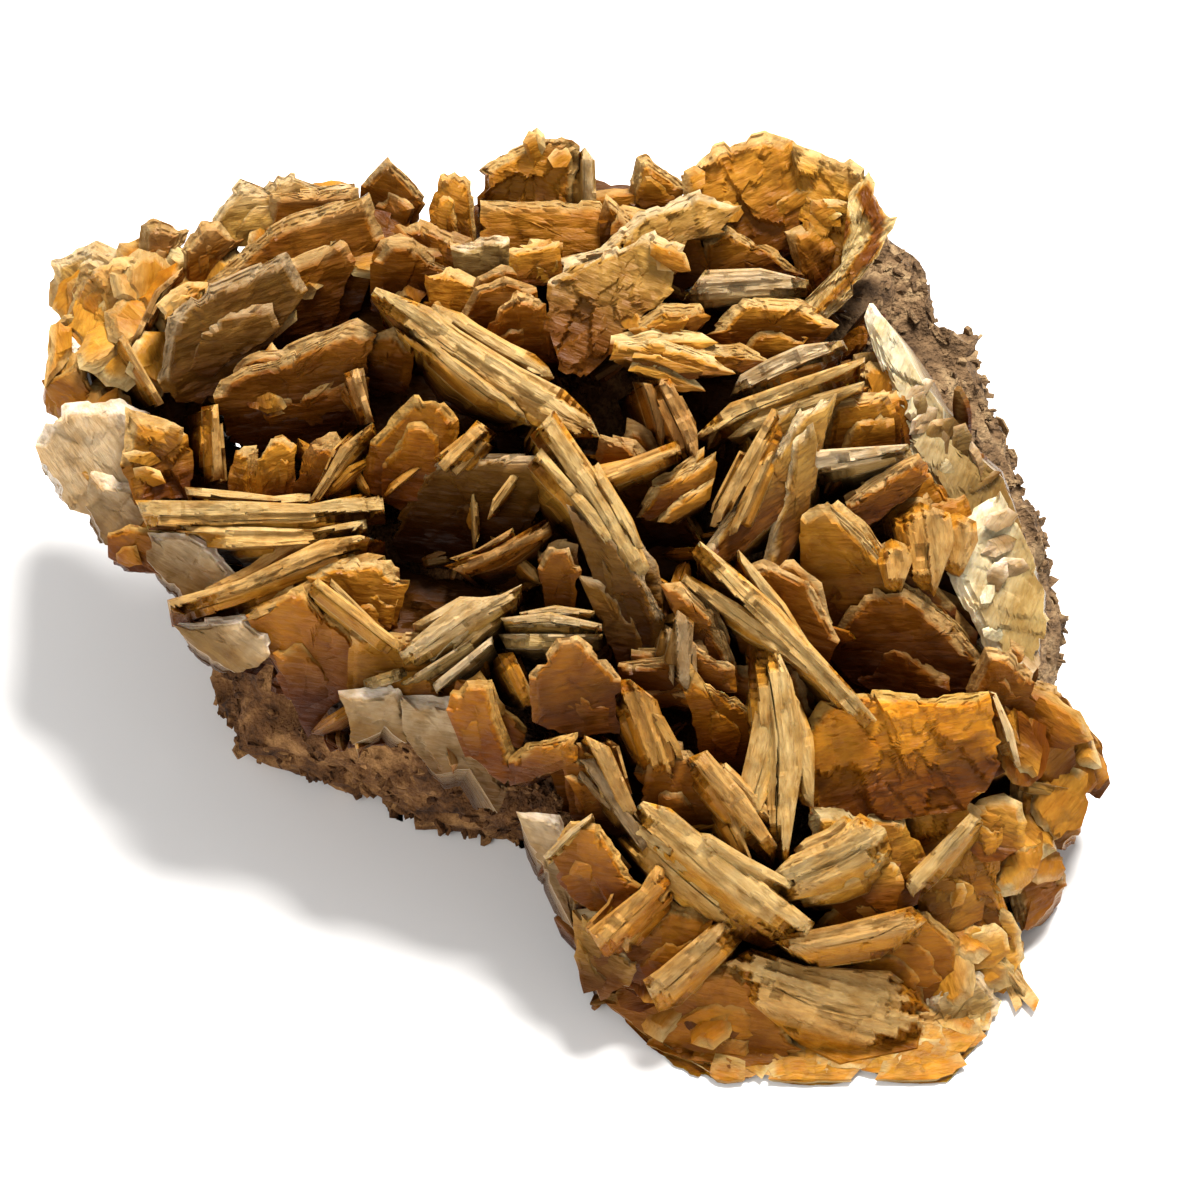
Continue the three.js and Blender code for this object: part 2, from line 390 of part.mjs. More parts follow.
// Where the matrix is widest.
const ROCK_MIDDLE = [3, -2];
const ROCK_OUTLINE = [
  -30, 22, -18, 32, 0, 36, 15, 38, 27, 37.5, 30.2, 35.7, 32.8, 32, 33.5, 27.5, 37, 26, 38, 22, 40.3, 18,
  41.2, 13, 43.8, 8, 45, 1, 45.8, -5, 44.5, -12, 43, -22, 42.5, -33, 36, -40, 25, -43, 12, -42, 2, -38,
  -3, -32, -6.4, -26.6, -9.2, -24.2, -14, -23.2, -18.3, -22.2, -23.3, -20.2, -27, -18.2, -35.5, -14.8,
  -38.6, -8.5, -39, -6, -40, 2, -37, 12,
];

const FLOOR_NORMAL = [0, Math.sin(LEAN), Math.cos(LEAN)];

// Height of the flat under the point at y up the face.
function floorAt(y) {
  return (-FACE_HEIGHT - FLOOR_NORMAL[1] * y) / FLOOR_NORMAL[2];
}

// 0 in the middle of the crystal face, 1 at its rim.
function outness(x, y) {
  return (x / HALF_WIDE) ** 2 + (y / HALF_TALL) ** 2;
}

function crestAt(x, y) {
  return CREST_TOP - CREST_FALL * outness(x, y);
}

function crustAt(x, y) {
  const grown = crestAt(x, y) - CRUST_DEPTH - CRUST_FALL * outness(x, y);
  return Math.max(grown, floorAt(y) + CRUST_FOOT);
}

// Smooth lumps, from -1 to 1, with a wavelength near the given size.
function lumps(x, y, z, size) {
  const k = 6.283 / size;
  const a = Math.sin(k * (x + 0.4 * y) + 1.3) * Math.sin(k * (0.9 * y - 0.3 * z) + 0.4);
  const b = Math.sin(k * (0.8 * z + 0.5 * x) + 2.1) * Math.sin(k * (0.7 * x - 0.8 * y) + 4.0);
  return 0.6 * a + 0.4 * b;
}

// A point read at (x, y) that lies at height z, with the eye EYE away.
function place(x, y, z) {
  const s = 1 - z / EYE;
  return [x * s, y * s, z];
}

function toSolid(geometry) {
  const plain = geometry.clone();
  plain.deleteAttribute("normal");
  plain.deleteAttribute("uv");
  const merged = mergeVertices(plain, 1e-4);
  return new wasm.Manifold(
    new wasm.Mesh({
      numProp: 3,
      vertProperties: new Float32Array(merged.attributes.position.array),
      triVerts: new Uint32Array(merged.index.array),
    }),
  );
}

function toGeometry(solid) {
  const mesh = solid.getMesh();
  const points = new Float32Array(mesh.numVert * 3);
  for (let i = 0; i < mesh.numVert; i++) {
    points.set(mesh.vertProperties.subarray(i * mesh.numProp, i * mesh.numProp + 3), i * 3);
  }
  const geometry = new THREE.BufferGeometry();
  geometry.setAttribute("position", new THREE.BufferAttribute(points, 3));
  geometry.setIndex(new THREE.BufferAttribute(mesh.triVerts, 1));
  geometry.computeVertexNormals();
  return geometry;
}

function pairs(numbers) {
  const points = [];
  for (let i = 0; i < numbers.length; i += 2) {
    points.push([numbers[i], numbers[i + 1]]);
  }
  return points;
}

// An outline moved outward by a distance, with its sharp corners cut short.
function widened(outline, distance) {
  const area = THREE.ShapeUtils.area(outline.map(([x, y]) => new THREE.Vector2(x, y)));
  const side = Math.sign(area) * distance;
  return outline.map(([x, y], i) => {
    const [ax, ay] = outline.at(i - 1);
    const [bx, by] = outline[(i + 1) % outline.length];
    const before = new THREE.Vector2(y - ay, ax - x).normalize();
    const after = new THREE.Vector2(by - y, x - bx).normalize();
    const out = before.clone().add(after).normalize();
    const far = side / Math.max(out.dot(before), 0.4);
    return [x + out.x * far, y + out.y * far];
  });
}

// An outline without the corners that lie closer than OUTLINE_SLACK to the edge that replaces
// them.
function plainer(outline) {
  const kept = outline.slice();
  for (;;) {
    const off = kept.map((corner, i) => {
      const a = new THREE.Vector3(...kept.at(i - 1), 0);
      const b = new THREE.Vector3(...kept[(i + 1) % kept.length], 0);
      const at = new THREE.Vector3(...corner, 0);
      return new THREE.Line3(a, b).closestPointToPoint(at, true, new THREE.Vector3()).distanceTo(at);
    });
    const least = Math.min(...off);
    if (least > OUTLINE_SLACK || kept.length < 5) return kept;
    kept.splice(off.indexOf(least), 1);
  }
}

// One crystal: a tilted front, tapering back to a root in the crust. The root lies below the
// lower end of the front. grow makes the crystal larger all round, for
// the room it needs among its neighbours.
function crystal([habit, rise, slopeX, slopeY, depth, numbers], grow) {
  const outline = plainer(pairs(numbers));
  const middle = new THREE.Vector2();
  outline.forEach(([x, y]) => middle.add(new THREE.Vector2(x, y)));
  middle.divideScalar(outline.length);
  const reach = outline.reduce((r, [x, y]) => r + middle.distanceTo({ x, y }), 0) / outline.length;
  const tilt = (x, y) => slopeX * (x - middle.x) + slopeY * (y - middle.y);
  const front = crestAt(middle.x, middle.y) + rise - Math.max(...outline.map((q) => tilt(...q)));
  const edge = widened(outline, grow);
  const shape = new THREE.Shape(edge.map(([x, y]) => new THREE.Vector2(x, y)));
  const steps = grow > 0 ? 2 : 1;
  const solid = new THREE.ExtrudeGeometry(shape, { depth: 1, steps, bevelEnabled: false });
  const p = solid.attributes.position;
  const rootShare = ROOT_SHARE[habit];
  const slope = Math.hypot(slopeX, slopeY);
  const sink = (reach * (1 - rootShare)) / Math.max(slope, 0.5);
  const root = [middle.x - slopeX * sink, middle.y - slopeY * sink];
  const foot = Math.min(front + tilt(...root) - depth, crustAt(...root) - ROOT_SUNK);
  for (let i = 0; i < p.count; i++) {
    const ring = Math.round(2 * (1 - p.getZ(i)));
    const share = [1, 1, rootShare][ring];
    const [cx, cy] = ring === 2 ? root : [middle.x, middle.y];
    const x = cx + (p.getX(i) - middle.x) * share;
    const y = cy + (p.getY(i) - middle.y) * share;
    const top = front + tilt(x, y);
    const z = [top + grow, top - grow, foot - grow][ring];
    p.setXYZ(i, ...place(x, y, z));
  }
  return toSolid(solid);
}

// How far the outline lies from its middle, in the direction of an angle.
function reachAt([cx, cy], outline, angle) {
  const dx = Math.cos(angle);
  const dy = Math.sin(angle);
  let best = 0;
  outline.forEach(([ax, ay], i) => {
    const [bx, by] = outline[(i + 1) % outline.length];
    const ex = bx - ax;
    const ey = by - ay;
    const det = dx * ey - dy * ex;
    if (Math.abs(det) < 1e-9) return;
    const t = ((ax - cx) * ey - (ay - cy) * ex) / det;
    const s = ((ax - cx) * dy - (ay - cy) * dx) / det;
    if (t > 0 && s >= -1e-9 && s <= 1 + 1e-9) best = Math.max(best, t);
  });
  return best;
}

// A lump whose rings run from the middle of its front over its rim to the middle of its back.
// Each ring gives its share of the reach and the height of a point on it. grow widens it.
function lump(middle, outline, rings, turns, grow) {
  const columns = turns + 1;
  const last = rings.length - 1;
  const surface = new THREE.PlaneGeometry(1, 1, turns, last);
  const p = surface.attributes.position;
  for (let i = 0; i < p.count; i++) {
    const row = Math.floor(i / columns);
    const angle = (2 * Math.PI * ((i % columns) % turns)) / turns;
    const [share, height] = rings[row];
    const reach = share * reachAt(middle, outline, angle);
    const x = middle[0] + reach * Math.cos(angle);
    const y = middle[1] + reach * Math.sin(angle);
    const wider = 1 + (share > 0 ? (share * grow) / reach : 0);
    const [across, up] = [middle[0] + (x - middle[0]) * wider, middle[1] + (y - middle[1]) * wider];
    p.setXYZ(i, ...place(across, up, height(x, y)));
  }
  const merged = mergeVertices(withoutFlat(surface), 1e-4);
  return toSolid(merged);
}

// Drops the triangles that closed up to a line at the two middles.
function withoutFlat(geometry) {
  const flat = geometry.toNonIndexed();
  const from = flat.attributes.position.array;
  const kept = [];
  for (let i = 0; i < from.length; i += 9) {
    const corners = [0, 3, 6].map((k) => from.slice(i + k, i + k + 3).join());
    if (new Set(corners).size === 3) kept.push(...from.slice(i, i + 9));
  }
  const out = new THREE.BufferGeometry();
  out.setAttribute("position", new THREE.Float32BufferAttribute(kept, 3));
  return out;
}

function crustPatch([middle, numbers], grow) {
  const surface = (x, y) => crustAt(x, y) + 0.8 * lumps(x, y, 0, 9) + grow;
  const under = (x, y) => crustAt(x, y) - CRUST_THICK - grow;
  const rings = [
    [0, surface],
    [0.6, surface],
    [1, (x, y) => surface(x, y) - 2.5],
    [0.85, under],
    [0, under],
  ];
  return lump(middle, pairs(numbers), rings, 12, 1.5 * grow);
}

function matrixRock(grow = 0) {
  const rough = (x, y, z) => 1.3 * lumps(x, y, z, 15) + 0.7 * lumps(y, x, z, 6);
  const top = (x, y) => crustAt(x, y) - ROCK_DEPTH + rough(x, y, 0) + 1.3 * grow;
  const at = (z, lift) => (x, y) => z + lift + rough(x, y, z);
  const rings = [
    [0, top],
    [0.4, top],
    [0.72, top],
    [0.9, (x, y) => top(x, y) - 3],
    [0.99, at(ROCK_RIM + 4, grow)],
    [1, at(ROCK_RIM - 2, 0)],
    [0.95, at(ROCK_RIM - 10, -grow)],
    [0.72, at(ROCK_RIM - 18, -grow)],
    [0.4, at(ROCK_BACK + 2, -grow)],
    [0, () => ROCK_BACK - grow],
  ];
  return lump(ROCK_MIDDLE, pairs(ROCK_OUTLINE), rings, 32, 1.5 * grow);
}

// The largest of the bodies that a cut leaves, without the slivers along the cuts.
function largest(solid) {
  const bodies = solid.simplify(SLIVER).decompose();
  return bodies.reduce((a, b) => (b.volume() > a.volume() ? b : a));
}

// Each group is cut to leave room for those before it.
const COLOURS = {
  centre_blades: "#cba468",
  upper_left_plates: "#a87c43",
  upper_right_cup: "#c8a052",
  right_plates: "#b59a68",
  left_rosette: "#c4a06a",
  lower_left_plates: "#b98345",
  lower_right_plates: "#c79c5c",
  top_plates: "#c09a5a",
  lower_left_rosette: "#b87d3e",
};

// The patches and the crystals of a group in one solid.
function groupSolid(name, grow) {
  const patches = PATCHES[name].map((patch) => crustPatch(patch, grow));
  const crystals = CRYSTALS[name].map((row) => crystal(row, grow));
  return [...patches, ...crystals].reduce((all, one) => all.add(one));
}

function meshOf(name, solid, color, roughness) {
  const material = new THREE.MeshStandardMaterial({
    color,
    roughness,
    metalness: 0,
    flatShading: true,
  });
  const mesh = new THREE.Mesh(toGeometry(solid), material);
  mesh.name = name;
  return mesh;
}

const specimen = new THREE.Group();
const face = new THREE.Group();
face.rotation.x = LEAN;
face.position.z = FACE_HEIGHT;
specimen.add(face);

face.add(meshOf("matrix", matrixRock().trimByPlane(FLOOR_NORMAL, -FACE_HEIGHT), "#7a5a38", 0.95));

let taken = matrixRock(GAP);
for (const [name, colour] of Object.entries(COLOURS)) {
  const free = groupSolid(name, 0)
    .subtract(taken)
    .trimByPlane(FLOOR_NORMAL, FOOT_CLEAR - FACE_HEIGHT);
  face.add(meshOf(name, largest(free), colour, 0.35));
  taken = taken.add(groupSolid(name, GAP));
}

export default specimen;
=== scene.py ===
import math

import bpy
import numpy as np
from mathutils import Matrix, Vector


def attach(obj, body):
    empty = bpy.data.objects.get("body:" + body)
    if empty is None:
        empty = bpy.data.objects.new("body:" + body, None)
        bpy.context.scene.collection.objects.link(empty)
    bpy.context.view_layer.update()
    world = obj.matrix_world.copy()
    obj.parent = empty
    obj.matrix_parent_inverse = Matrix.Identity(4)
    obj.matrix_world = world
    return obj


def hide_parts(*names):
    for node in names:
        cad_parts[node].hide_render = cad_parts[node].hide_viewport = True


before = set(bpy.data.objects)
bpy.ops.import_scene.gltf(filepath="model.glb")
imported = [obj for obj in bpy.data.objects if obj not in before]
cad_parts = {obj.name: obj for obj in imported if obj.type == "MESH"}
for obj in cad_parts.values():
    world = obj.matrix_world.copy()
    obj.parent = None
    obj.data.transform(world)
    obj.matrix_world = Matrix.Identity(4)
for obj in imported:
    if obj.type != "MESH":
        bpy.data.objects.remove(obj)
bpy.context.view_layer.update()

LEAN = math.radians(35)  # the crystal face leans back this far from level
FACE_HEIGHT = 39.0  # middle of the crystal face above the flat
EYE = 420.0  # distance along the face's axis from which the outlines were read
HALF_WIDE, HALF_TALL = 55.0, 47.0  # of the face, about its middle
CREST_TOP, CREST_FALL = 2.0, 13.0  # height of the crests at the middle, and their fall at the rim
# The crust under the crystals: below the crests, its own fall, its least height, its thickness.
CRUST_DEPTH, CRUST_FALL, CRUST_FOOT, CRUST_THICK = 10.5, 4.0, 3.0, 8.0
ROCK_DEPTH, ROCK_RIM, ROCK_BACK = 5.0, -33.0, -60.0  # below the crust, then heights
ROOT_SUNK = 1.2  # of a crystal in its crust
# How wide each kind of crystal is at its root, as a share of its front.
ROOT_SHARE = {"plate": 0.5, "shingle": 0.6, "blade": 0.85, "cup": 1.0, "sheet": 0.7}

# The crystals of each group. A row gives the habit, the tone, how far the crest stands above
# the general crest, the slope of the front along x and along y, the depth behind the front,
# and the outline as x, y pairs.
CRYSTALS = {
    "upper_left_plates": [
        ("plate", "pale", 0, -0.1, 0.5, 2, (-39, 38, -37.8, 40, -36, 42.2, -33.7, 41.3, -32.2, 43,
            -30, 42.7, -27.4, 41.5, -24.5, 41.7, -24, 37, -38, 35)),
        ("plate", "honey", 0.5, 0, 0.8, 1.6, (-33.5, 37, -33, 40.6, -30, 41.2, -27, 41.3, -24, 41.3,
            -24, 37)),
        ("plate", "honey", -0.5, 0.3, 0.7, 2, (-24, 41.5, -21.2, 44.4, -19.3, 42.7, -18.6, 42, -16.9, 39.6,
            -19, 36, -22, 34, -24.5, 36)),
        ("plate", "honey", 2.5, -0.15, 0.75, 2.2, (-39.7, 31.9, -37, 34, -33, 37.5, -31, 38.6, -26, 40,
            -23.1, 40.8, -21.5, 36.2, -24, 29, -28, 23, -33, 24, -39, 27)),
        ("plate", "grey", 5, -0.25, 0.7, 2.4, (-39.5, 31.5, -31.3, 34.9, -29.2, 31, -33, 25.5, -38.5, 19.7,
            -43, 19.5, -44.3, 22, -44, 24, -43.3, 28.3)),
        ("plate", "honey", 3, -0.1, 0.9, 2, (-38.7, 20.5, -38, 22, -36, 23.2, -32.5, 24, -28.5, 26.2,
            -24.7, 27.8, -22.3, 26.5, -23, 21, -26, 15.5, -34, 15, -38, 16)),
        ("plate", "honey", 0.5, 0, 0.9, 2, (-23, 34, -21.3, 36.3, -18.7, 36.3, -16.5, 34.3, -14.3, 33.2,
            -15, 29, -19, 27.5, -23, 29)),
        ("plate", "gold", 4, -0.3, 0.3, 1.4, (-44.5, 29.5, -43, 31, -41, 32, -39.2, 31.8, -39, 29.6,
            -40, 30.6, -41.5, 29.8, -43.5, 28)),
        ("blade", "honey", 1, 0.3, 0.5, 9, (-26, 22.5, -24.2, 23.2, -22.6, 17.8, -24, 17.4)),
        ("plate", "honey", 0, 0.2, 0.9, 2, (-24.5, 22, -23.5, 26.5, -20.5, 27.5, -18.5, 25, -19, 21,
            -22, 20)),
        ("plate", "orange", 3.5, 0.1, 0.8, 2.4, (-23.2, 16, -18.6, 20.6, -16.2, 20.5, -14, 18.2, -13.8, 12,
            -16, 9, -20, 9, -24, 11)),
        ("blade", "gold", 3.5, 0.1, 0.3, 9, (-29.5, 9.3, -27.5, 12.5, -26, 15.3, -22.7, 17.8, -22.3, 16.6,
            -25, 13.6, -26.8, 10.8, -28.5, 8.6)),
        ("plate", "gold", 1.5, -0.2, 0.7, 2, (-34.7, 9, -34.5, 14, -33, 16.5, -31.7, 16.6, -30.3, 15.5,
            -30.2, 12, -30.8, 9)),
        ("plate", "honey", 1.5, 0.2, 0.9, 2, (-31, 8, -30.5, 13, -29, 16, -26.5, 16.5, -25, 14, -24.5, 9)),
        ("blade", "cream", 4.5, 0.1, 0.12, 10, (-22.9, 30.5, -22.4, 31.3, -17, 29.3, -14, 27, -8, 23.3,
            -3.5, 21, -1, 18.5, 0, 16.3, -4.5, 16.4, -9, 18.3, -14, 21.5, -18.8, 25.2, -22.8, 29.9)),
        ("plate", "honey", -2.5, 0.2, 0.6, 2, (-20.5, 37.5, -18, 38.2, -15.5, 37, -12.6, 35.5, -12.5, 28,
            -18, 27, -21, 31)),
        ("plate", "gold", -1, 0.1, 0.7, 2, (-17.5, 33, -15, 33.6, -12, 32, -11.5, 24, -15, 20, -18, 24)),
    ],
    "left_rosette": [
        ("plate", "pale", -3, 0.3, 0.3, 1.6, (-55, 34, -50.3, 36, -47, 34.5, -49, 31, -53, 28.8,
            -55.2, 29)),
        ("shingle", "gold", -1.5, 0.3, 0.4, 2.4, (-52, 33, -50, 34, -46.5, 34.5, -44.5, 33, -46.5, 29,
            -47, 24, -47, 19.5, -50.5, 19.5, -51.5, 22.5, -53, 25.5, -54, 28)),
        ("plate", "honey", -1, 0, 0.6, 2.5, (-46, 37.5, -44.7, 38.3, -41, 37, -42, 34.5, -43, 31,
            -46.3, 33)),
        ("plate", "honey", 0, -0.3, 0.6, 2.2, (-42, 35, -40, 38.3, -38, 38.2, -35.6, 36.1, -37, 34.5,
            -39.5, 30, -42, 31)),
        ("blade", "honey", 1, 0.2, 0.2, 8, (-47, 25.5, -44.5, 31, -41.7, 33.3, -41.3, 32.2, -43.6, 30,
            -46, 25)),
        ("blade", "gold", 2, 0.2, 0.2, 8, (-48.6, 26, -47.6, 26.6, -43.6, 19.7, -44.6, 19.2)),
        ("plate", "orange", -2.5, 0.3, 0.5, 3, (-54, 23, -52, 24.2, -50.3, 20.5, -51, 17, -54, 18,
            -55.9, 22)),
        ("plate", "ash", -3, 0.3, 0.5, 1.6, (-55.3, 25, -53.5, 27, -51.8, 25.5, -52, 22, -55, 21.5)),
        ("plate", "ash", 1, 0.35, 0.25, 2.4, (-56.8, 15.4, -55, 18.5, -53.5, 19.7, -48, 20.2, -45, 18.7,
            -44, 13.5, -46, 10, -50, 8.2, -53, 9, -54.2, 10.5, -56, 13.3)),
        ("shingle", "gold", 1.5, -0.1, 0.4, 2.4, (-47.5, 19.4, -44.5, 18.5, -42.5, 17.9, -40.8, 16.8,
            -40.6, 13, -41, 10, -46.5, 9.5, -48, 13.5)),
        ("blade", "gold", 2, 0, 0.5, 8, (-39.8, 19.3, -38.2, 19.6, -37.7, 12.2, -39.5, 11.6)),
        ("plate", "gold", 2, 0.2, 0.6, 2, (-37.3, 12.5, -36.5, 15.3, -34.3, 15.5, -34.5, 9, -37, 8.5)),
        ("blade", "cream", 3.5, 0, -0.15, 12, (-46.5, 10, -36, 9.9, -29, 9.6, -25, 10.4, -21.8, 11,
            -21.4, 7.6, -33, 6.2, -39, 5.7, -40.5, 6.7, -45.2, 7)),
        ("blade", "gold", 2.5, 0.05, 0.1, 12, (-43.3, 0, -36, 2, -32, 4, -28, 6, -24, 6.5, -21.6, 5.8,
            -21.3, 4.2, -24, 3.4, -29.7, 1.2, -36, -1.5, -40, -2.7, -42.8, -2.7)),
        ("plate", "ash", 2, 0.3, 0.5, 2.2, (-45.3, 6.8, -41, 6.7, -38.3, 5.2, -36, 2.6, -37.5, -0.5,
            -40, -1, -43.3, 1.6, -45.4, 4)),
        ("plate", "orange", 0, 0.3, 0.5, 2.2, (-49.2, 4.3, -49.3, 6.8, -47, 7.6, -44, 7, -44, 2.5,
            -47, 2.8)),
        ("plate", "ash", -1, 0.4, 0.5, 2, (-52, 9.5, -51, 13, -46, 12, -44, 8, -46, 5, -49.5, 5.5)),
    ],
    "lower_left_plates": [
        ("plate", "ash", 1, 0.3, 0.4, 2.2, (-43, -2.4, -40, -1.8, -35.5, -1.4, -33, -3.3, -32.5, -5.5,
            -34, -6.9, -36.5, -7.3, -38.8, -6.2, -41, -4.3)),
        ("plate", "orange", 2.5, 0.15, 0.8, 2.4, (-35.5, -1.5, -29.8, 1.7, -27, -1.5, -24.5, -3,
            -22.6, -6.5, -24, -9.5, -27, -11.2, -29.2, -13.8, -31.3, -10, -33.2, -6)),
        ("plate", "gold", 1.5, 0.1, 0.6, 2, (-30, 2.5, -27, 4, -22, 4.6, -19, 2, -20, -3, -25, -4,
            -28, -1)),
        ("blade", "cream", 4, 0.1, 0.2, 11, (-29.6, 1, -28.2, 2.2, -19.4, -4.6, -20.4, -6.4)),
        ("blade", "pale", 4, 0.05, 0.2, 11, (-20.2, -5.2, -17, -2.5, -14, 0, -10, 0.5, -7.8, 1.6,
            -8.4, -0.6, -14, -4.6, -19, -7.4)),
        ("blade", "silver", 2.5, 0.05, 0.2, 10, (-23.8, -8, -18.8, -6.4, -18.8, -7.6, -23.5, -9)),
        ("blade", "silver", 3, 0.05, 0.2, 10, (-20.4, -8.6, -10.8, -2.6, -10.6, -3.9, -19.8, -9.8)),
        ("blade", "silver", 2.5, 0.05, 0.2, 10, (-16.8, -8.4, -10.8, -3.6, -10.6, -4.9, -16.2, -9.6)),
        ("plate", "orange", 3, 0.1, 0.7, 2.4, (-15, -9.3, -13.8, -7.9, -10.8, -7.9, -9.6, -12, -7.9, -16.5,
            -9.5, -18.5, -13.5, -15.7, -15.4, -11)),
        ("plate", "ash", 0, 0.1, 0.6, 2.2, (-26.3, -9, -20, -8.4, -18.6, -11.5, -19, -14.6, -21.5, -13,
            -24.9, -14.6)),
        ("plate", "ash", -0.5, 0.1, 0.6, 2.2, (-20, -9.5, -14, -9.5, -10.3, -14.5, -9, -18.5, -10.2, -21.4,
            -12.5, -17.4, -16.7, -17.6, -19.7, -13.5)),
        ("plate", "gold", 0.5, 0, 0.7, 2.2, (-25, -3, -18, -3, -14, -6, -15, -11, -20, -12, -25.5, -10)),
    ],
    "centre_blades": [
        ("plate", "grey", 0.5, 0.1, 0.9, 2.4, (-21, 6.5, -19, 11, -17.5, 13.3, -15.3, 14.5, -8.5, 14.6,
            -5.5, 14.6, -6, 9, -8, 5.5, -14, 3, -20, 4)),
        ("blade", "gold", 4, 0.1, 0.2, 9, (-16.2, 13.6, -15, 12.2, -10.3, 16.6, -12.3, 18)),
        ("blade", "honey", 3.5, 0.1, 0.3, 9, (-15.6, 3.4, -11, 4.9, -5.3, 8.2, -4.8, 6.6, -10, 3.4,
            -13, 2.4)),
        ("plate", "honey", 4, 0.1, 0.9, 2, (-6.4, 3.2, -5.2, 5.4, -3, 5.6, -1.8, 3, -2.8, -2.4,
            -5.4, -2.4)),
        ("blade", "pale", 3.5, 0, 0.2, 9, (-10, -1.8, -5, -1.2, 0.2, -2.4, 0.2, -3.6, -5, -3.2, -9, -3.2)),
        ("blade", "silver", 3, 0, 0.2, 9, (-10.2, -3.4, 0.3, -3.4, 0.3, -5, -9.4, -4.8)),
        ("plate", "honey", 5, -0.1, 0.7, 2.6, (-7.2, -7.5, -5.2, -5, -4.3, -3.8, -2.2, -3.5, 0, -5.2,
            2.2, -7.8, 2, -13.4, -4, -13.6, -6.8, -12.2)),
        ("blade", "gold", 3, 0.1, 0.4, 9, (-10.2, -5.4, -8.7, -5.2, -6.2, -10.4, -7.6, -10.8)),
        ("blade", "cream", 8.5, -0.1, 0.3, 13, (-7, 16.4, -4.6, 19, -1.2, 14, 2.6, 8.6, 5, 3.3, 3.6, 0.8,
            0, 6, -2.6, 10.5, -4.4, 12.6)),
        ("plate", "grey", 5.5, 0.15, 0.75, 3, (-3.4, 9.6, 0, 8.6, 3.5, 5, 5.4, 2, 6.8, -1.7, 6, -6.7,
            2, -7.6, 0, -1)),
        ("plate", "honey", 2, 0.2, 0.9, 2, (1.5, -6.2, 6, -5.6, 9.4, -4, 13.5, -6.6, 13.7, -9.2, 8, -9.4,
            2, -9)),
        ("plate", "honey", 3.5, 0.2, 0.8, 2, (6, 1.6, 8, 1.9, 11.7, -1.5, 13.5, -6, 13.4, -8, 9, -4.5)),
        ("blade", "grey", 4, 0, 0.4, 9, (7.8, -1, 9.4, -2.2, 8.9, -9.4, 6.4, -6)),
        ("plate", "orange", 3, -0.1, 0.8, 2.2, (8, -9, 9, -6.2, 10.5, -8.3, 12.5, -8.8, 15.2, -11,
            16, -13.5, 15, -18.6, 10, -15.5)),
        ("blade", "gold", 5.5, -0.1, 0.3, 9, (-1, 11.8, -0.6, 12.8, 7.8, 16, 8.3, 14, -0.6, 10.6)),
        ("plate", "gold", 4, -0.1, 0.8, 2, (3.2, 8, 5, 11.3, 12, 15.2, 11.6, 12, 5.4, 8)),
        ("plate", "honey", 1, 0, 0.9, 2.2, (0, 16.6, 3, 16, 6.5, 12, 9, 9, 12, 3, 8, 1.5, 3.5, 6, -1, 12)),
        ("blade", "cream", 6, 0, 0.25, 12, (14.5, -4.2, 17.6, -4.5, 19.2, -8, 20.4, -13.5, 20.2, -17,
            18.7, -26.4, 16.8, -25.4, 15.8, -22, 15.3, -13)),
        ("blade", "orange", 4, -0.1, 0.4, 10, (1.8, -8, 3, -7.9, 5.7, -10, 7.4, -15, 7.7, -17.8, 6, -18.8,
            4.3, -17, 2.3, -11)),
        ("blade", "gold", 4, -0.1, 0.4, 10, (-2.2, -13.2, 1, -14.7, 3.7, -21, 2.2, -22.8, -1.7, -15)),
        ("blade", "grey", 3, -0.1, 0.4, 9, (-2, -16, -0.6, -15.8, 5.2, -24.6, 4, -26, -2, -18)),
        ("plate", "orange", 2, 0.2, 0.8, 2.2, (-7.4, -14.3, -2.2, -13.2, -2.2, -16, -5, -17.5, -9, -18.6,
            -9.4, -16)),
        ("blade", "gold", 5.5, -0.1, 0.3, 11, (7.6, -16.3, 10.7, -15, 14.4, -19.2, 17.7, -24.5, 17.2, -27,
            13.3, -23.2, 9.3, -18.7)),
        ("plate", "honey", 1.5, 0, 0.8, 2.2, (5, -15, 9, -15, 14, -22, 13, -27, 8, -24, 4, -20)),
        ("plate", "honey", 1, 0, 0.8, 2.2, (-4, -15, 1, -15, 3, -20, 2, -24, -3, -22)),
    ],
    "top_plates": [
        ("shingle", "gold", 0, 0.1, 0.55, 2.4, (-12.3, 43, -10.5, 44.6, -7, 46.1, -6, 46.8, -3.5, 46.7,
            -2, 45.4, -2.2, 34, -12.3, 34)),
        ("plate", "gold", -0.5, 0.2, 0.55, 2.2, (-17.2, 39, -16, 42.6, -14.5, 43.3, -12.8, 42, -12, 33,
            -16.5, 33)),
        ("blade", "pale", 0, 0, 0.5, 9, (-2.7, 44, -1.5, 45.3, -0.5, 44, -0.2, 36, -2.7, 36)),
        ("plate", "honey", 1.5, 0, 0.9, 1.8, (-14.4, 28, -12.5, 31.3, -9.5, 32.4, -6.3, 31.3, -6, 27,
            -13.5, 25)),
        ("plate", "honey", 2.5, 0, 0.9, 1.8, (-12, 25, -10.5, 29.5, -8.3, 31, -5, 30, -4.5, 24, -9, 22.5)),
        ("plate", "silver", 1, 0, 0.7, 1.8, (-15, 35.5, -12, 36.6, -8.6, 36.4, -8.6, 31, -14.2, 31)),
        ("plate", "gold", 1.5, -0.1, 0.6, 1.8, (-9.2, 35.2, -4, 36, -3.4, 31.6, -9, 31.2)),
        ("shingle", "pale", 1.5, -0.1, 0.25, 2, (-4.3, 32.5, -4, 34.2, 0, 35.2, 4, 39.2, 8, 40.4, 10, 41.1,
            14.5, 39.6, 12.5, 36.8, 9, 36.8, 7.6, 31.8, 4, 27.8, 0, 27)),
        ("shingle", "pale", 3, 0.1, 0.25, 2, (-5.7, 27, -5.4, 32, 0, 34.8, 5.5, 37, 8.5, 35.5, 7.5, 31,
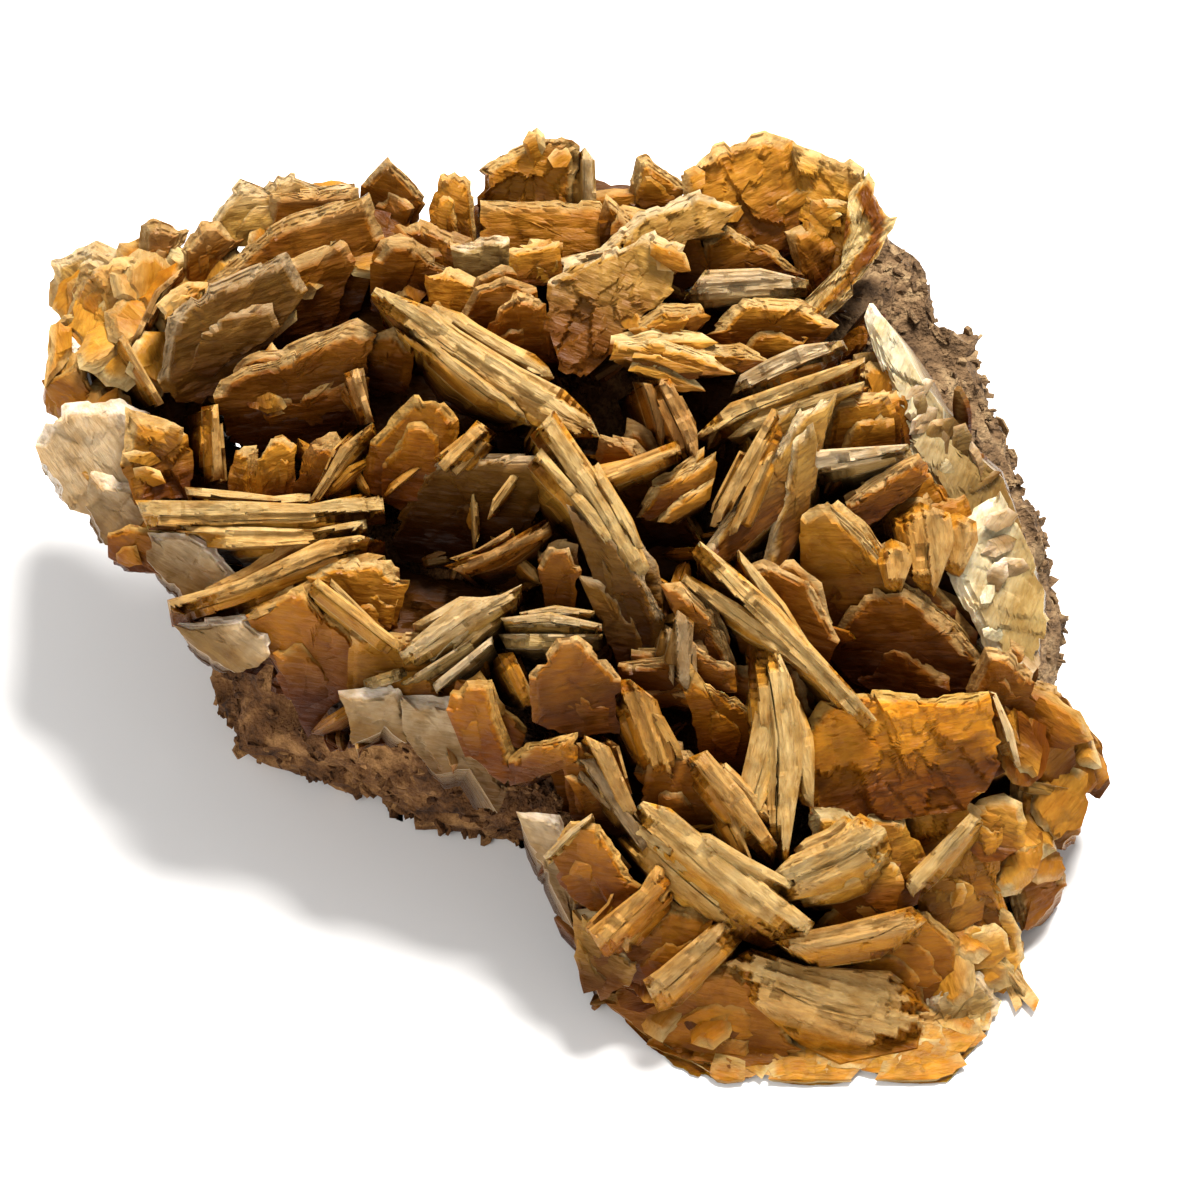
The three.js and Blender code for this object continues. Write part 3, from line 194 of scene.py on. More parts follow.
            4, 27.6, 0, 23.6, -2.2, 21.6, -4.4, 22.8)),
        ("plate", "gold", -1, -0.1, 0.6, 1.8, (3, 39.6, 2.8, 42, 3.6, 44.4, 4.6, 44.7, 7.6, 42.6, 9, 41.2,
            6, 38)),
        ("plate", "honey", 0, 0, 0.7, 1.8, (-0.2, 38, 0.6, 40.6, 2.3, 39.2, 4.6, 37, 0, 35)),
        ("plate", "gold", -4, 0, 0.3, 2, (-12, 40, 0, 40, 10, 38, 12, 32, 0, 28, -12, 30)),
    ],
    "upper_right_cup": [
        ("shingle", "gold", 0, -0.15, 0.32, 2.4, (8, 42.5, 9.5, 44.3, 11.5, 45.7, 16.5, 47, 19.3, 46,
            20.4, 40, 19.6, 34, 14.5, 31.5, 10.5, 34, 8.6, 38)),
        ("cup", "cream", -1, -0.1, -0.05, 9, (26.9, 42.9, 28.4, 40.1, 29.8, 38.4, 28.6, 35, 26, 31,
            21, 26.5, 17, 23.8, 16.4, 26, 20, 28.8, 24, 33, 26.2, 36.6, 24.9, 40.8)),
        ("shingle", "cream", -0.6, 0.12, 0.3, 2.4, (18.9, 46.3, 25, 44.2, 27.9, 42.1, 27.4, 38, 25.4, 33,
            21.6, 30.4, 19.4, 33, 19.8, 40)),
        ("plate", "gold", -2, -0.2, 0.6, 1.6, (10, 36, 12.5, 37.7, 17.5, 35.2, 20.6, 32.4, 14, 31,
            9.6, 32.6)),
        ("plate", "gold", -3.5, -0.3, 0.4, 1.6, (18.3, 37, 21, 38.2, 24, 35.5, 22.8, 31, 21.5, 29,
            19.6, 32.5)),
        ("blade", "silver", 1.5, -0.05, 0.2, 8, (8.3, 30, 10.5, 33, 16, 33.2, 20.9, 32, 20.7, 30.4,
            10, 29.2)),
        ("plate", "gold", 2.5, -0.1, 0.6, 1.6, (2.5, 27.2, 6, 29.9, 10.5, 29.7, 11.2, 28.4, 9, 25.6,
            4.6, 25)),
        ("plate", "cream", 4, 0.05, 0.3, 1.8, (0.5, 24, 1.2, 26.1, 6, 26.4, 12, 24.2, 13.7, 22.6, 9, 22,
            2, 24.2)),
        ("plate", "gold", 3, -0.1, 0.5, 1.6, (8.3, 25.6, 14, 25.8, 17.2, 24, 14.4, 22.6, 9, 23.5)),
        ("blade", "honey", 4.5, -0.1, 0.4, 8, (3.8, 22, 7, 22.2, 9.7, 17, 10, 12.8, 8.3, 12.6, 5.3, 19)),
        ("blade", "silver", 3.5, 0, 0.2, 9, (13, 20.4, 14, 22.5, 17, 24.2, 20, 25.5, 24.3, 26, 24.8, 25,
            20.2, 22.3, 16, 20.3)),
        ("blade", "cream", 5.5, 0, 0.3, 9, (9.3, 16.2, 13, 19.7, 20, 22.2, 26.5, 24.3, 26.5, 23, 23, 20.8,
            17, 18.3, 10.5, 15.1)),
        ("blade", "gold", 6, 0.05, 0.3, 9, (11, 7.4, 11.5, 9.2, 17.2, 19.2, 19.2, 18.4, 13.6, 6.6)),
        ("plate", "pale", 4.5, -0.3, 0.5, 2.2, (23.7, 20.7, 23, 17.5, 22, 14.2, 20, 10.3, 16, 6.3,
            12.5, 3.3, 9.8, 4.5, 13, 9.2, 17, 14.7, 20, 19.2)),
        ("plate", "gold", -3, 0, 0.3, 2, (14, 45.8, 19, 46.2, 24, 43.8, 24.5, 36, 19, 32, 14, 36)),
        ("plate", "gold", 0.5, 0, 0.7, 2, (14, 30.5, 20, 30, 24, 27.5, 22, 25.5, 14, 24.5, 10.5, 26.5)),
    ],
    "right_plates": [
        ("plate", "gold", 2, -0.2, 0.7, 2, (22.8, 18.6, 23, 19.9, 29, 20.9, 30, 19, 30.4, 15, 27, 13,
            22, 13.6)),
        ("blade", "silver", 3.5, -0.1, 0.3, 9, (21.3, 13.8, 21.5, 15, 30.8, 15.6, 31.4, 14.2, 20.3, 11)),
        ("plate", "honey", 2.5, -0.2, 0.6, 1.8, (24, 9.7, 27, 12.2, 32, 14.9, 33.4, 12.5, 28.2, 8,
            26, 6.6)),
        ("blade", "gold", 3, -0.3, 0.3, 8, (29, 8, 32, 9.8, 35, 8.7, 35.5, 6, 33.4, 0.2, 31, 1.6)),
        ("sheet", "white", 0.5, -0.4, 0.15, 2.4, (26.3, 28.5, 27, 30.3, 30, 26, 32.3, 21.7, 35.2, 18.2,
            37.3, 15, 40.3, 12.2, 42.3, 7, 39.5, 4.5, 35.5, 7, 32.8, 11.5, 30.5, 14.8, 28.3, 21.5)),
        ("sheet", "white", 0, -0.4, 0.15, 2.4, (35, 8, 40, 11, 42.6, 6, 45.1, 1, 44.8, -3.2, 43.4, -7,
            39, -6, 36.4, -1, 34, 4)),
        ("plate", "gold", -1.5, -0.4, 0.2, 2, (26, 24, 29, 24, 32, 18, 31, 13, 27, 13, 25, 18)),
        ("plate", "gold", -2.5, -0.2, 0.4, 2, (27, 13, 33, 13, 37, 7, 38, 0, 34, -3, 28, 4)),
        ("plate", "gold", 3.5, 0, 0.75, 3, (19.8, 8.3, 22.5, 10.2, 26.5, 6.7, 30, 2.7, 33, 0.2, 36, -2.3,
            39, -5.8, 38.7, -9.4, 33, -10.2, 26, -9.4, 20.5, -5)),
        ("plate", "honey", -1.2, 0, 0.7, 2.4, (26, 1, 30, 1.5, 34.5, -1.5, 38.5, -6, 38.5, -8.8, 33, -9.8,
            26, -9, 22, -5)),
        ("blade", "cream", 5.5, 0.05, 0.2, 13, (10, 5.9, 13, 3.5, 18, -0.8, 21, -4.3, 26, -9.8, 27.7, -12,
            26.3, -13.6, 22, -8.7, 16.5, -4.2, 13, -0.7, 9.2, 4.8)),
        ("plate", "honey", 2, 0.2, 0.7, 2.4, (11, 2, 17, 4, 21, 2, 24, -4, 22, -8, 17, -6, 12, -2)),
        ("plate", "mottled", 4, -0.1, 0.45, 3, (25.8, -8.8, 34, -9.4, 38.9, -9.1, 40.5, -15.5, 38.6, -19.2,
            37.2, -21, 29, -22.4, 21, -21.4, 19.8, -13.5, 22, -10)),
        ("blade", "pale", 3, -0.2, 0.3, 9, (38.6, -9, 39.6, -9.3, 41.3, -13, 42.1, -16.6, 41, -17,
            40, -15)),
        ("plate", "honey", 0, 0, 0.7, 2.2, (38.4, -4.6, 41, -5, 44, -8, 43, -14, 40, -17, 36, -10)),
        ("plate", "honey", 1, 0.2, 0.8, 2.2, (13, -6.5, 20, -6.5, 22, -12, 21, -18, 15, -18, 12.5, -13)),
    ],
    "lower_right_plates": [
        ("blade", "cream", 5.5, -0.05, 0.3, 12, (4.3, -20.1, 7, -20.8, 13, -25.8, 18.2, -29.6, 21.5, -32.3,
            20.6, -34, 16.5, -34.9, 13.5, -33.7, 8, -28.2, 2, -22.4)),
        ("blade", "cream", 5, 0, 0.3, 11, (16.8, -27.8, 19, -25.6, 23, -23.8, 26, -21.3, 28.5, -22.8,
            29.3, -25, 27, -27.7, 23, -29.4, 18, -30.2)),
        ("blade", "cream", 3.5, -0.1, 0.3, 10, (30.3, -28, 34, -24.3, 37, -21.3, 38.3, -22.2, 34.2, -27.7,
            31.5, -30.3)),
        ("shingle", "gold", 2, -0.15, 0.5, 2.6, (30, -20, 37.2, -20.1, 40.3, -22.8, 40.2, -26, 40.2, -29,
            41.5, -33.7, 38, -36.5, 33, -34, 30.5, -29)),
        ("plate", "cream", 2.2, -0.15, 0.45, 2.4, (21, -20.5, 31, -21.5, 33, -26, 31, -33, 26, -33,
            20, -28)),
        ("blade", "gold", 4, 0, 0.35, 10, (16.8, -33.8, 22, -36.8, 28, -35.8, 32.7, -32, 31.2, -30.6,
            24, -32.4)),
        ("blade", "striped", 3.5, -0.15, 0.35, 11, (12.6, -36.3, 15, -34.8, 20.5, -36.6, 29, -37.1,
            32.8, -40, 31.8, -44.9, 24, -46.5, 20, -44.5, 15, -40.2)),
        ("plate", "pale", -1, -0.3, 0.3, 2.4, (38.8, -5.8, 46.6, -8.9, 48.2, -12, 49.6, -14, 44, -15,
            41, -13, 39, -9)),
        ("plate", "gold", -2, -0.3, 0.4, 2.2, (42, -9, 46.4, -9.5, 48.1, -11.5, 50.2, -14.3, 51.3, -18,
            50, -19.9, 45, -19, 42, -16)),
        ("plate", "gold", -2.5, -0.3, 0.5, 2.4, (41, -17.5, 48.7, -19.6, 48.2, -22.3, 48.2, -23.2,
            46.2, -25, 43, -24.4, 40.5, -22)),
        ("plate", "honey", -2.5, -0.3, 0.5, 2.4, (41, -23.5, 46.4, -25.6, 46.7, -28.5, 44.1, -32,
            42, -33.6, 40.6, -29)),
        ("blade", "pale", -1, -0.3, 0.2, 8, (41, -17.6, 48.6, -19.2, 48.6, -20.4, 41, -18.9)),
        ("plate", "gold", 0, -0.3, 0.4, 2.2, (38, -33.3, 41, -35.8, 44, -40, 43.4, -41.2, 37.3, -35.2)),
        ("plate", "silver", 0, -0.2, 0.5, 2.2, (35.6, -36.5, 38, -37, 40.2, -40, 39.2, -43.3, 34, -44,
            32.5, -40)),
        ("plate", "gold", -0.5, -0.1, 0.6, 2.4, (30, -40.5, 36, -40, 38.7, -43.6, 37, -45.1, 33.5, -46.8,
            30, -48.1, 25.6, -47.2, 27, -43.5)),
        ("plate", "gold", -0.5, 0, 0.6, 2.4, (16.2, -46.5, 16.6, -48, 20, -49.9, 25, -48.9, 26.6, -47,
            27, -43.5, 19, -43)),
        ("plate", "orange", -0.5, 0.1, 0.5, 2, (10, -45.5, 12, -47.6, 13.5, -49.1, 16.3, -47, 16, -43,
            11, -42)),
        ("plate", "orange", 1, 0.1, 0.7, 2.6, (7, -37, 13, -36, 18, -39.5, 20.2, -45, 17, -46.6, 13, -47.1,
            9, -46.1, 5.6, -44.4, 0, -40.2, 3, -38)),
        ("plate", "orange", 1, 0, 0.7, 2.4, (24, -29.5, 32, -30.5, 36, -34, 37, -40, 32, -41, 24, -38,
            20, -34)),
    ],
    "lower_left_rosette": [
        ("plate", "orange", 3, 0.1, 0.6, 2.4, (-5.4, -25.4, -3, -22, 0, -22.3, 4.2, -28.5, 2.2, -31.7,
            -1.5, -31, -4, -28.5)),
        ("blade", "pale", 3.5, 0.1, 0.3, 9, (-5.7, -25.6, -3, -22.9, -0.8, -21.3, -0.4, -22.4, -2.8, -24.2,
            -5, -26.6)),
        ("blade", "orange", 4, 0, 0.3, 10, (-1.2, -33, 4, -28.9, 5.5, -26.3, 7.2, -27.4, 7.2, -30,
            1, -36.7)),
        ("blade", "gold", 3.5, 0, 0.3, 10, (4.3, -38, 5.8, -41.2, 8, -40.5, 14.2, -34, 12, -31.8,
            6, -36.8)),
        ("plate", "pale", 0.5, 0.2, 0.5, 2.4, (-2.8, -31, 0, -30.5, 4, -36.3, 3, -38.7, 0.1, -40.2,
            -2.6, -34.2)),
        ("plate", "orange", 1, 0.1, 0.6, 2.4, (1, -34, 7, -30, 12, -31.5, 10, -37, 5, -40, 1.5, -39)),
        ("plate", "ash", -0.5, 0.2, 0.5, 2.2, (-8.5, -21, -4, -21.5, -2, -26, -2.6, -33, -4.4, -29.5,
            -6.6, -25.4)),
    ],
}

FRONT_EDGE = 0.0335  # metres; the crystals thin out past it, at the front of the flat
TAKEN_BACK = 0.85  # the share of what lies past it that is taken back
SPACING = 0.46  # between the points of a crystal's border
COARSE = 0.85  # the same for the small crystals among them
SHARP = math.radians(28)  # edges that turn more than this are drawn sharp
THIN_LAYER, THICK_LAYER, LAYERED_DEPTH = (0.3, 0.7), (3.0, 5.0), 1.6  # down a crystal's side
RIM_WIDTH, LEDGE_WIDTH = (0.8, 1.5), (0.22, 0.34)  # along the crest of a plate
BLADE_LAYER = (0.45, 1.5)  # how wide each layer of a blade is
SHADE, DEEP_SHADE = 0.89, 0.66  # of every tint, and how much darker the painted shade makes it deep inside
SUNK_FROM, SUNK_OVER = 2.2, 7.5  # below the crests: where the painted shade starts, and over what depth it deepens
DRUSE_COUNT, STRAY_COUNT = 20, 14  # tablets and small blades tried on each patch
DRUSE_SIZE, DRUSE_HEIGHT = (0.8, 2.6), (1.5, 5.5)
STRAY_LONG, STRAY_WIDE = (1.6, 4.2), (0.4, 0.9)
FLAKE_LONG, FLAKE_WIDE = (1.2, 2.6), (0.6, 1.3)
PETAL_LONG, PETAL_WIDE = (2.2, 4.2), (2.0, 4.4)
PETAL_STEP, PETAL_TIERS = 3.6, 3  # from one petal to the next, and tiers of them
PETAL_GAPS = 0.42  # the share of petals left out
PETAL_OVERHANG = 0.8  # past the crust's outline
TIER_ALONG, TIER_IN, TIER_UP = 0.33, 2.3, 1.1  # how each tier of petals lies to the one before
PETAL_TONES = ("gold", "orange", "gold", "cream")
SMALL_TONES = ("gold", "honey", "cream", "orange")
SHEET_FLAKES, SHINGLE_FLAKES = 10, 3  # on each crystal of the kind
ALONE_HABITS = ("cup", "sheet", "shingle")  # crystals of these kinds get no smaller ones
ALONE_TONES = ("silver", "white", "mottled", "ash")  # nor do those in these tones
# Rings from one given row to the next, and points in each ring: of the crust, of the rock.
PATCH_PARTS, PATCH_TURNS = 5, 84
ROCK_PARTS, ROCK_TURNS = 12, 276
ROCK_CORE = (3.0, -2.0, -38.0)  # the place that its roughness moves away from or towards
ROCK_LUMPS, ROCK_PITS = 4.2, 6.0  # how far the rock's surface moves out and is pitted
CRUMBS, BARE_RINGS = 3400, 20  # crumbs on the rock, none on its first and last rings
FLOOR_HALF = 3  # metres
LIT = (0, 0.01, 0.03)  # metres; where the lamps point
LAMPS = {  # where each stands and how wide it is, in metres, and its watts
    "key": ((0.16, 0.24, 0.74), 0.28, 17.0),
    "fill": ((-0.4, -0.5, 0.55), 0.6, 2.8),
}
LAMP_COLOUR = (1.0, 0.97, 0.93)
SKY = 0.5
PHOTO_HALF = 60.0  # half the width that the photo shows at the face
SPLINTER = ((-1, 0.1), (-0.6, -0.9), (0.5, -1), (1, -0.2), (0.6, 0.8), (-0.5, 1))
FLAKE = ((-1, 0.2), (-0.5, -0.9), (0.4, -1), (1, -0.3), (0.7, 0.7), (-0.4, 1))
BARE_RIMS = ("upper_right_cup", "top_plates")  # groups without petals round their crust

# The patches of crust that the groups grow on: the middle and the outline of each.
PATCHES = {
    "upper_left_plates": [((-25, 25), (
        -38.5, 36, -30, 41, -22, 42, -16, 37, -12, 30, -3, 20, -4, 14, -14, 8, -24, 8, -31, 9,
        -38, 14, -40, 24,
    ))],
    "left_rosette": [((-44, 15), (
        -54, 32, -46, 36, -38, 35, -37, 25, -35, 14, -24, 11, -22, 5, -30, 1, -42, -1, -44.5, 4,
        -49, 7, -54.5, 13, -55, 22,
    ))],
    "lower_left_plates": [((-21, -6), (
        -41, -3, -36, -0.5, -30, 2, -20, 5, -9, 2, -9, -8, -9, -20, -12, -17, -18, -16, -24, -14,
        -28, -13, -33, -7, -38, -6,
    ))],
    "centre_blades": [
        ((1, 2), (
            -21, 6, -15, 14, -5, 18, 8, 16, 12, 8, 14, 0, 16, -10, 14, -18, 0, -14, -8, -12, -10, 0,
        )),
        ((8, -16), (-8, -14, 2, -9, 14, -5, 20, -6, 20, -20, 18, -27, 12, -25, 4, -24, -3, -20)),
    ],
    "top_plates": [((-3, 33), (
        -16.5, 40, -6, 45, 4, 43, 10, 40, 8, 30, 1, 22, -5, 22, -15, 27,
    ))],
    "upper_right_cup": [((15, 28), (
        8, 41, 16, 45.5, 26, 42, 28, 37, 24, 28, 25, 22, 20, 10, 11, 4, 7, 14, 2, 22, 2, 28, 8, 32,
    ))],
    "right_plates": [
        ((31, 11), (
            27, 29, 31, 23, 37, 14, 41, 8, 44, 0, 42, -5, 34, -3, 28, 2, 22, 9, 21, 14, 23, 22,
        )),
        ((25, -8), (
            10, 6, 20, 8, 27, 5, 36, -3, 40, -9, 41, -17, 36, -21, 20, -21, 14, -18, 12, -6,
        )),
    ],
    "lower_right_plates": [((30, -31), (
        6, -25, 18, -26, 28, -21, 38, -20, 42, -8, 48, -12, 50, -18, 46, -27, 42, -34, 42, -40,
        36, -45, 24, -48, 12, -47, 2, -41, 6, -37, 14, -33,
    ))],
    "lower_left_rosette": [((1, -31), (
        -7, -22, -2, -21, 4, -26, 13, -32, 9, -38, 4, -41, 0, -39, -3, -33,
    ))],
}

ROCK_MIDDLE = (3, -2)
ROCK_OUTLINE = (
    -30, 22, -18, 32, 0, 36, 15, 38, 27, 37.5, 30.2, 35.7, 32.8, 32, 33.5, 27.5, 37, 26, 38, 22,
    40.3, 18, 41.2, 13, 43.8, 8, 45, 1, 45.8, -5, 44.5, -12, 43, -22, 42.5, -33, 36, -40, 25, -43,
    12, -42, 2, -38, -3, -32, -6.4, -26.6, -9.2, -24.2, -14, -23.2, -18.3, -22.2, -23.3, -20.2,
    -27, -18.2, -35.5, -14.8, -38.6, -8.5, -39, -6, -40, 2, -37, 12,
)


def linear(hexcode):
    """A colour's hexcode as linear red, green and blue."""
    value = [int(hexcode[i:i + 2], 16) / 255 for i in (0, 2, 4)]
    return np.array([v / 12.92 if v <= 0.04045 else ((v + 0.055) / 1.055) ** 2.4 for v in value])


# Each tone: the colour of the broad face, of the crest and edges (paler where thin, and partly a painted
# highlight), and deep down by the root (painted shade).
TONE_HEX = {
    "honey": ("8a5717", "a88d62", "4b2703"),
    "gold": ("a97524", "b0976a", "5a3005"),
    "orange": ("9b6416", "a68751", "623404"),
    "cream": ("b18130", "b4a37c", "683a07"),
    "pale": ("9f7c3e", "b9a88b", "633c11"),
    "grey": ("704f1f", "9c886d", "3e2104"),
    "silver": ("998155", "c6b59f", "573e17"),
    "white": ("cdc7b2", "efebdc", "a28d60"),
    "striped": ("9a6718", "b19c70", "532804"),
    "mottled": ("cd8b23", "ad9459", "603403"),
    "ash": ("ae9a7f", "d4cac4", "7a5f39"),
}
TONES = {tone: [linear(hexcode) for hexcode in three] for tone, three in TONE_HEX.items()}


def floor_at(y):
    """The height at y of the flat that the specimen lies on."""
    return (-FACE_HEIGHT - math.sin(LEAN) * y) / math.cos(LEAN)


def lowest_at(y, above):
    """The height at y that ends the given distance above the flat once it is placed."""
    c, s = math.cos(LEAN), math.sin(LEAN)
    return (above - FACE_HEIGHT - s * y) / (c - s * y / EYE)


def outness(x, y):
    """0 at the middle of the face and 1 at its rim."""
    return (x / HALF_WIDE) ** 2 + (y / HALF_TALL) ** 2


def crest_at(x, y):
    """The general height of the crystals' crests."""
    return CREST_TOP - CREST_FALL * outness(x, y)


def crust_at(x, y):
    """The height of the crust that the crystals grow from."""
    grown = crest_at(x, y) - CRUST_DEPTH - CRUST_FALL * outness(x, y)
    return np.maximum(grown, floor_at(y) + CRUST_FOOT)


def lumps(x, y, z, size):
    """Smooth lumps of the given size, from -1 to 1."""
    k = 6.283 / size
    a = np.sin(k * (x + 0.4 * y) + 1.3) * np.sin(k * (0.9 * y - 0.3 * z) + 0.4)
    b = np.sin(k * (0.8 * z + 0.5 * x) + 2.1) * np.sin(k * (0.7 * x - 0.8 * y) + 4.0)
    return 0.6 * a + 0.4 * b


# The eight corners of a cell, and the nine cells round a place, one to a row.
CORNERS = np.stack(np.meshgrid((0, 1), (0, 1), (0, 1), indexing="ij"), axis=-1).reshape(8, 1, 3)
NEAR_I, NEAR_J = np.repeat((-1, 0, 1), 3)[:, None], np.tile((-1, 0, 1), 3)[:, None]


def hashed(i, j, seed):
    """A fixed random value from 0 to 1 for each pair of whole numbers."""
    h = (i * 73856093) ^ (j * 19349663) ^ (seed * 83492791)
    h = (h ^ (h >> 13)) * 1274126177 & 0x7FFFFFFF
    return ((h ^ (h >> 16)) & 0xFFFF) / 65535.0


def grain(points, size, seed):
    """Smooth value noise from 0 to 1 with cells of the given size."""
    p = np.asarray(points, dtype=float) / size + seed * 17.37
    cell = np.floor(p).astype(np.int64)
    f = p - cell
    f = f * f * (3 - 2 * f)
    x, y, z = np.moveaxis(cell + CORNERS, -1, 0)
    wx, wy, wz = np.moveaxis(np.where(CORNERS, f, 1 - f), -1, 0)
    return sum(hashed(x, y, z) * wx * wy * wz)


def place(points):
    """Points read at x, y at height z, moved to where they are, with the eye EYE away."""
    p = np.array(points, dtype=float)
    s = 1 - p[:, 2] / EYE
    p[:, 0] *= s
    p[:, 1] *= s
    return p


def to_world(points):
    """From the face's frame in millimetres to the part's frame in metres."""
    c, s = math.cos(LEAN), math.sin(LEAN)
    x, y, z = points[:, 0], points[:, 1], points[:, 2]
    return np.stack([x, c * y - s * z, s * y + c * z + FACE_HEIGHT], axis=1) / 1000


class Shell:
    """Collects closed solids made of rings of points, with a colour for each point."""

    def __init__(self):
        self.points, self.flow, self.faces, self.tints = [], [], [], []
        self.count = 0

    def add(self, rings, tints, flow):
        """rings run from front to back, all of the same length, with their colours and flow."""
        n = len(rings[0])
        start = self.count
        self.points.extend(rings)
        self.tints.extend(tints)
        self.flow.extend(flow)
        self.count += n * len(rings)
        loop = np.arange(n)
        after = (loop + 1) % n
        for k in range(len(rings) - 1):
            a, b = start + k * n, start + (k + 1) * n
            quads = np.stack([a + loop, b + loop, b + after, a + after], axis=1)
            self.faces.extend(quads.tolist())
        self.faces.append((start + loop).tolist())
        last = start + (len(rings) - 1) * n
        self.faces.append((last + loop[::-1]).tolist())

    def finish(self, name, low=0.25):
        """One mesh of all the solids, with no point lower than low."""
        points = np.concatenate(self.points)
        tints = np.concatenate(self.tints)
        # Painted shade: deep between the crystals, below their crests, everything turns a dark, strong
        # brown.
        inner = np.clip((1.05 - outness(points[:, 0], points[:, 1])) / 0.35, 0, 1)
        below = crest_at(points[:, 0], points[:, 1]) - points[:, 2]
        crevice_shade = np.clip((below - SUNK_FROM) / SUNK_OVER, 0, 1) * inner
        k = SHADE * (1 - DEEP_SHADE * crevice_shade)
        tints = tints * np.stack([k, k ** 1.3, k ** 1.8], axis=1)
        points = to_world(place(points))
        past = np.minimum(points[:, 1] + FRONT_EDGE, 0)
        points[:, 1] -= TAKEN_BACK * past
        points[:, 2] = np.maximum(points[:, 2], low / 1000)
        mesh = bpy.data.meshes.new(name)
        mesh.from_pydata(points.tolist(), [], self.faces)
        colour = mesh.attributes.new("tint", "FLOAT_VECTOR", "POINT")
        colour.data.foreach_set("vector", tints.astype(np.float32).ravel())
        flow = mesh.attributes.new("flow", "FLOAT_VECTOR", "POINT")
        flow.data.foreach_set("vector", np.concatenate(self.flow).astype(np.float32).ravel())
        mesh.polygons.foreach_set("use_smooth", [True] * len(mesh.polygons))
        mesh.set_sharp_from_angle(angle=SHARP)
        mesh.update()
        return link_new(name, mesh)


def points_of(numbers):
    """The x, y pairs of an outline, one to a row."""
    return np.array(numbers, dtype=float).reshape(-1, 2)


def anticlockwise(outline):
    x, y = outline[:, 0], outline[:, 1]
    area = np.sum(x * np.roll(y, -1) - np.roll(x, -1) * y)
    return outline if area > 0 else outline[::-1]


def evenly(outline, step):
    """Points every step or so along the outline, its corners kept."""
    out = []
    for i in range(len(outline)):
        a, b = outline[i], outline[(i + 1) % len(outline)]
        parts = max(1, int(round(float(np.hypot(*(b - a))) / step)))
        for k in range(parts):
            out.append(a + (b - a) * k / parts)
    return np.array(out)


def read_row(row):
    """A crystal's outline, its middle, its slope, and the front's height at the middle."""
    _, _, rise, slope_x, slope_y, _, numbers = row
    outline = anticlockwise(points_of(numbers))
    middle = outline.mean(axis=0)
    slope = np.array([slope_x, slope_y])
    front = crest_at(*middle) + rise - ((outline - middle) @ slope).max()
    return outline, middle, slope, front


def border_of(outline, spacing):
    """Points along the outline, and how far along it each lies."""
    border = evenly(outline, spacing)
    return border, np.cumsum(np.hypot(*(border - np.roll(border, 1, axis=0)).T))


def edge_of(points, outline):
    """How far each point lies inside the outline, and the way the nearest side faces."""
    best = np.full(len(points), 1e9)
    way = np.zeros((len(points), 2))
    for i in range(len(outline)):
        a, b = outline[i], outline[(i + 1) % len(outline)]
        side = b - a
        length = max(float(np.hypot(*side)), 1e-6)
        t = np.clip((points - a) @ side / length ** 2, 0, 1)
        away = np.hypot(*(points - a - t[:, None] * side).T)
        near = away < best
        best = np.where(near, away, best)
        way[near] = np.array([side[1], -side[0]]) / length
    return best, way


def scales(a, b, size, seed):
    """Flat scales of the given size: a random value for each, and the place across it."""
    x, y = a / size, b / size
    i = np.floor(x).astype(np.int64) + NEAR_I
    j = np.floor(y).astype(np.int64) + NEAR_J
    dx, dy = x - i - hashed(i, j, seed), y - j - hashed(i, j, seed + 1)
    nearest = np.argmin(dx * dx + dy * dy, axis=0), np.arange(len(x))
    return hashed(i[nearest], j[nearest], seed + 2), dx[nearest], dy[nearest]


# For each habit: size and height of the coarse scales, of the fine scales, and of the lines.
SURFACE = {
    "plate": (4.2, 0.36, 1.5, 0.16, 0.06),
    "shingle": (2.6, 0.85, 1.3, 0.36, 0.06),
    "cup": (2.6, 0.8, 1.2, 0.40, 0.06),
    "sheet": (4.2, 0.55, 1.8, 0.25, 0.05),
    "blade": (2.6, 0.35, 1.1, 0.22, 0.06),
}


def relief(a, b, stretch, habit, seed):
    """The broken surface of a face, b running along its growth, and a shade for each scale."""
    coarse, tall, fine, low, line = SURFACE[habit]
    p = np.stack([a, b, 0 * a], axis=1)
    wander = grain(p, 1.7, seed) - 0.5
    v1, _, y1 = scales(a + wander * 0.25, b / stretch, coarse, seed)
    v2, _, y2 = scales(a + wander * 0.15, b / stretch, fine, seed + 11)
    lines = grain(np.stack([a * 3.2, b * 0.35, 0 * a], axis=1), 1.0, seed + 3) - 0.5
    height = tall * (v1 - 0.9 - 0.55 * y1) + low * (v2 - 0.7 - 0.6 * y2) + line * lines
    return height, 0.86 + 0.16 * v1 + 0.14 * v2 + 0.12 * lines


def toned(tone, share):
    """The colour from the crest, where share is 0, its pale edge colour partly a painted highlight, to the
    painted shade deep by the root, where it is 1.
    """
    face, edge, deep = TONES[tone]
    t = np.clip(share, 0, 1)[:, None]
    first = np.clip(t / 0.16, 0, 1)
    then = np.clip((t - 0.22) / 0.62, 0, 1)
    return (edge * (1 - first) + face * first) * (1 - then) + deep * then


